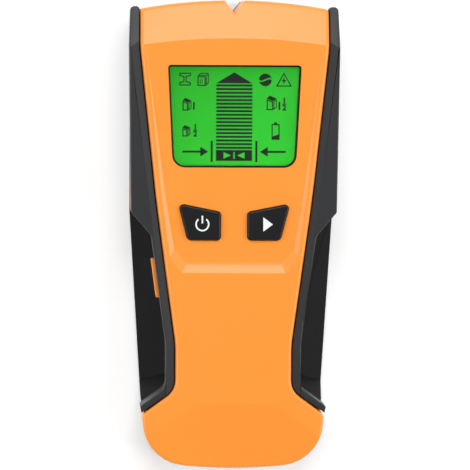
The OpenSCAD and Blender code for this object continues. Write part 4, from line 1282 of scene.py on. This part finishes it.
@dataclass(frozen=True)
class SoftBox:
    """A square soft light that looks at the middle of the object."""

    name: str
    azimuth: float
    elevation: float
    size: float
    power: float
    distance: float = 2.0

    def build(self, target: Vector) -> None:
        """Hangs the light.

        Args:
            target: The point that it looks at.
        """
        turn, rise = math.radians(self.azimuth), math.radians(self.elevation)
        way = Vector((math.sin(turn) * math.cos(rise), math.cos(turn) * math.cos(rise), math.sin(rise)))
        lamp = bpy.data.lights.new(self.name, "AREA")
        lamp.size = self.size
        lamp.energy = self.power
        holder = bpy.data.objects.new(self.name, lamp)
        holder.location = target + way * self.distance
        holder.rotation_euler = way.to_track_quat("Z", "Y").to_euler()
        bpy.context.scene.collection.objects.link(holder)


@dataclass
class Studio:
    """The pale floor, the soft lights and the camera over the face; its leans are in degrees."""

    floor_half: float = 3.0
    floor_gap: float = 0.05 * MM
    floor_rim: float = 0.3
    wall_light: float = 0.9
    ceiling_light: float = 0.12
    camera_distance: float = 1.3
    lean_left: float = 2.6
    lean_up: float = 3.0
    roll: float = 0.3
    aim: Vector = field(default_factory=lambda: Vector((0.3 * MM, 0.2 * MM, 30 * MM)))
    shown_height: float = 165.0 * MM
    sensor_mm: float = 36.0
    lights: tuple[SoftBox, ...] = (
        SoftBox("top_softbox", 0, 56, 1.0, 19.0),
        SoftBox("left_softbox", -90, 40, 1.2, 14.0),
        SoftBox("right_softbox", 90, 40, 1.2, 19.0),
    )

    def build(self) -> None:
        """Builds the floor, the sky, the lights and the camera."""
        self.lay_floor()
        self.light_room()
        for light in self.lights:
            light.build(self.aim)
        self.set_camera()
        bpy.context.scene.view_settings.view_transform = "Standard"

    def lay_floor(self) -> None:
        """Lays the floor just under the glide pads, with a low upright rim round it."""
        bpy.ops.object.select_all(action="DESELECT")
        bpy.ops.mesh.primitive_plane_add(size=2 * self.floor_half, location=(0, 0, -self.floor_gap))
        floor = bpy.context.active_object
        floor.name = "studio_floor"
        with editing(floor, "EDGE"):
            pick_boundary(floor)
            bpy.ops.mesh.extrude_region_move(
                TRANSFORM_OT_translate={"value": (0, 0, self.floor_rim)}
            )
        sheet = LightTable("opal_light_table", "#F6F6F6", "#F2F2F2", 0.9, grain_mm=2.0)
        floor.data.materials.append(sheet.make())

    def light_room(self) -> None:
        """Lights the room from its pale walls, under a dark ceiling that leaves the face clear."""
        world = bpy.data.worlds.new("studio_room")
        bpy.context.scene.world = world
        world.use_nodes = True
        tree = world.node_tree
        way = add_node(tree, "ShaderNodeTexCoord").outputs["Generated"]
        height = add_node(tree, "ShaderNodeSeparateXYZ", None, {0: way}).outputs["Z"]
        settings = {
            "From Min": 0.05,
            "From Max": 0.75,
            "To Min": self.wall_light,
            "To Max": self.ceiling_light,
            "interpolation_type": "SMOOTHSTEP",
        }
        strength = add_node(tree, "ShaderNodeMapRange", settings, {"Value": height})
        tree.links.new(strength.outputs["Result"], tree.nodes["Background"].inputs["Strength"])
        tree.nodes["Background"].inputs["Color"].default_value = linear("#FFFFFF")

    def set_camera(self) -> None:
        """Sets the camera over the face, leaning a little left and towards the top."""
        left, up = math.radians(self.lean_left), math.radians(self.lean_up)
        way = Vector((-math.tan(left), math.tan(up), 1)).normalized()
        side = Vector((0, 1, 0)).cross(way).normalized()
        turn = Matrix.Rotation(math.radians(self.roll), 3, "Z")
        lens = bpy.data.cameras.new("face_camera")
        lens.sensor_width = self.sensor_mm
        lens.lens = self.sensor_mm * self.camera_distance / self.shown_height
        camera = bpy.data.objects.new("face_camera", lens)
        camera.location = self.aim + way * self.camera_distance
        axes = Matrix((side, way.cross(side), way)).transposed()
        camera.rotation_euler = (axes @ turn).to_euler()
        bpy.context.scene.collection.objects.link(camera)
        bpy.context.scene.camera = camera


def main() -> None:
    """Loads the frame, builds each sub-assembly and reports the pieces."""
    logging.basicConfig(level=logging.INFO, format="%(name)s: %(message)s")
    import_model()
    finishes = Finishes()
    Studio().build()
    Casing(finishes).build()
    Display(finishes).build()
    Keys(finishes).build()
    Workings(finishes).dress()


if __name__ == "__main__":
    main()
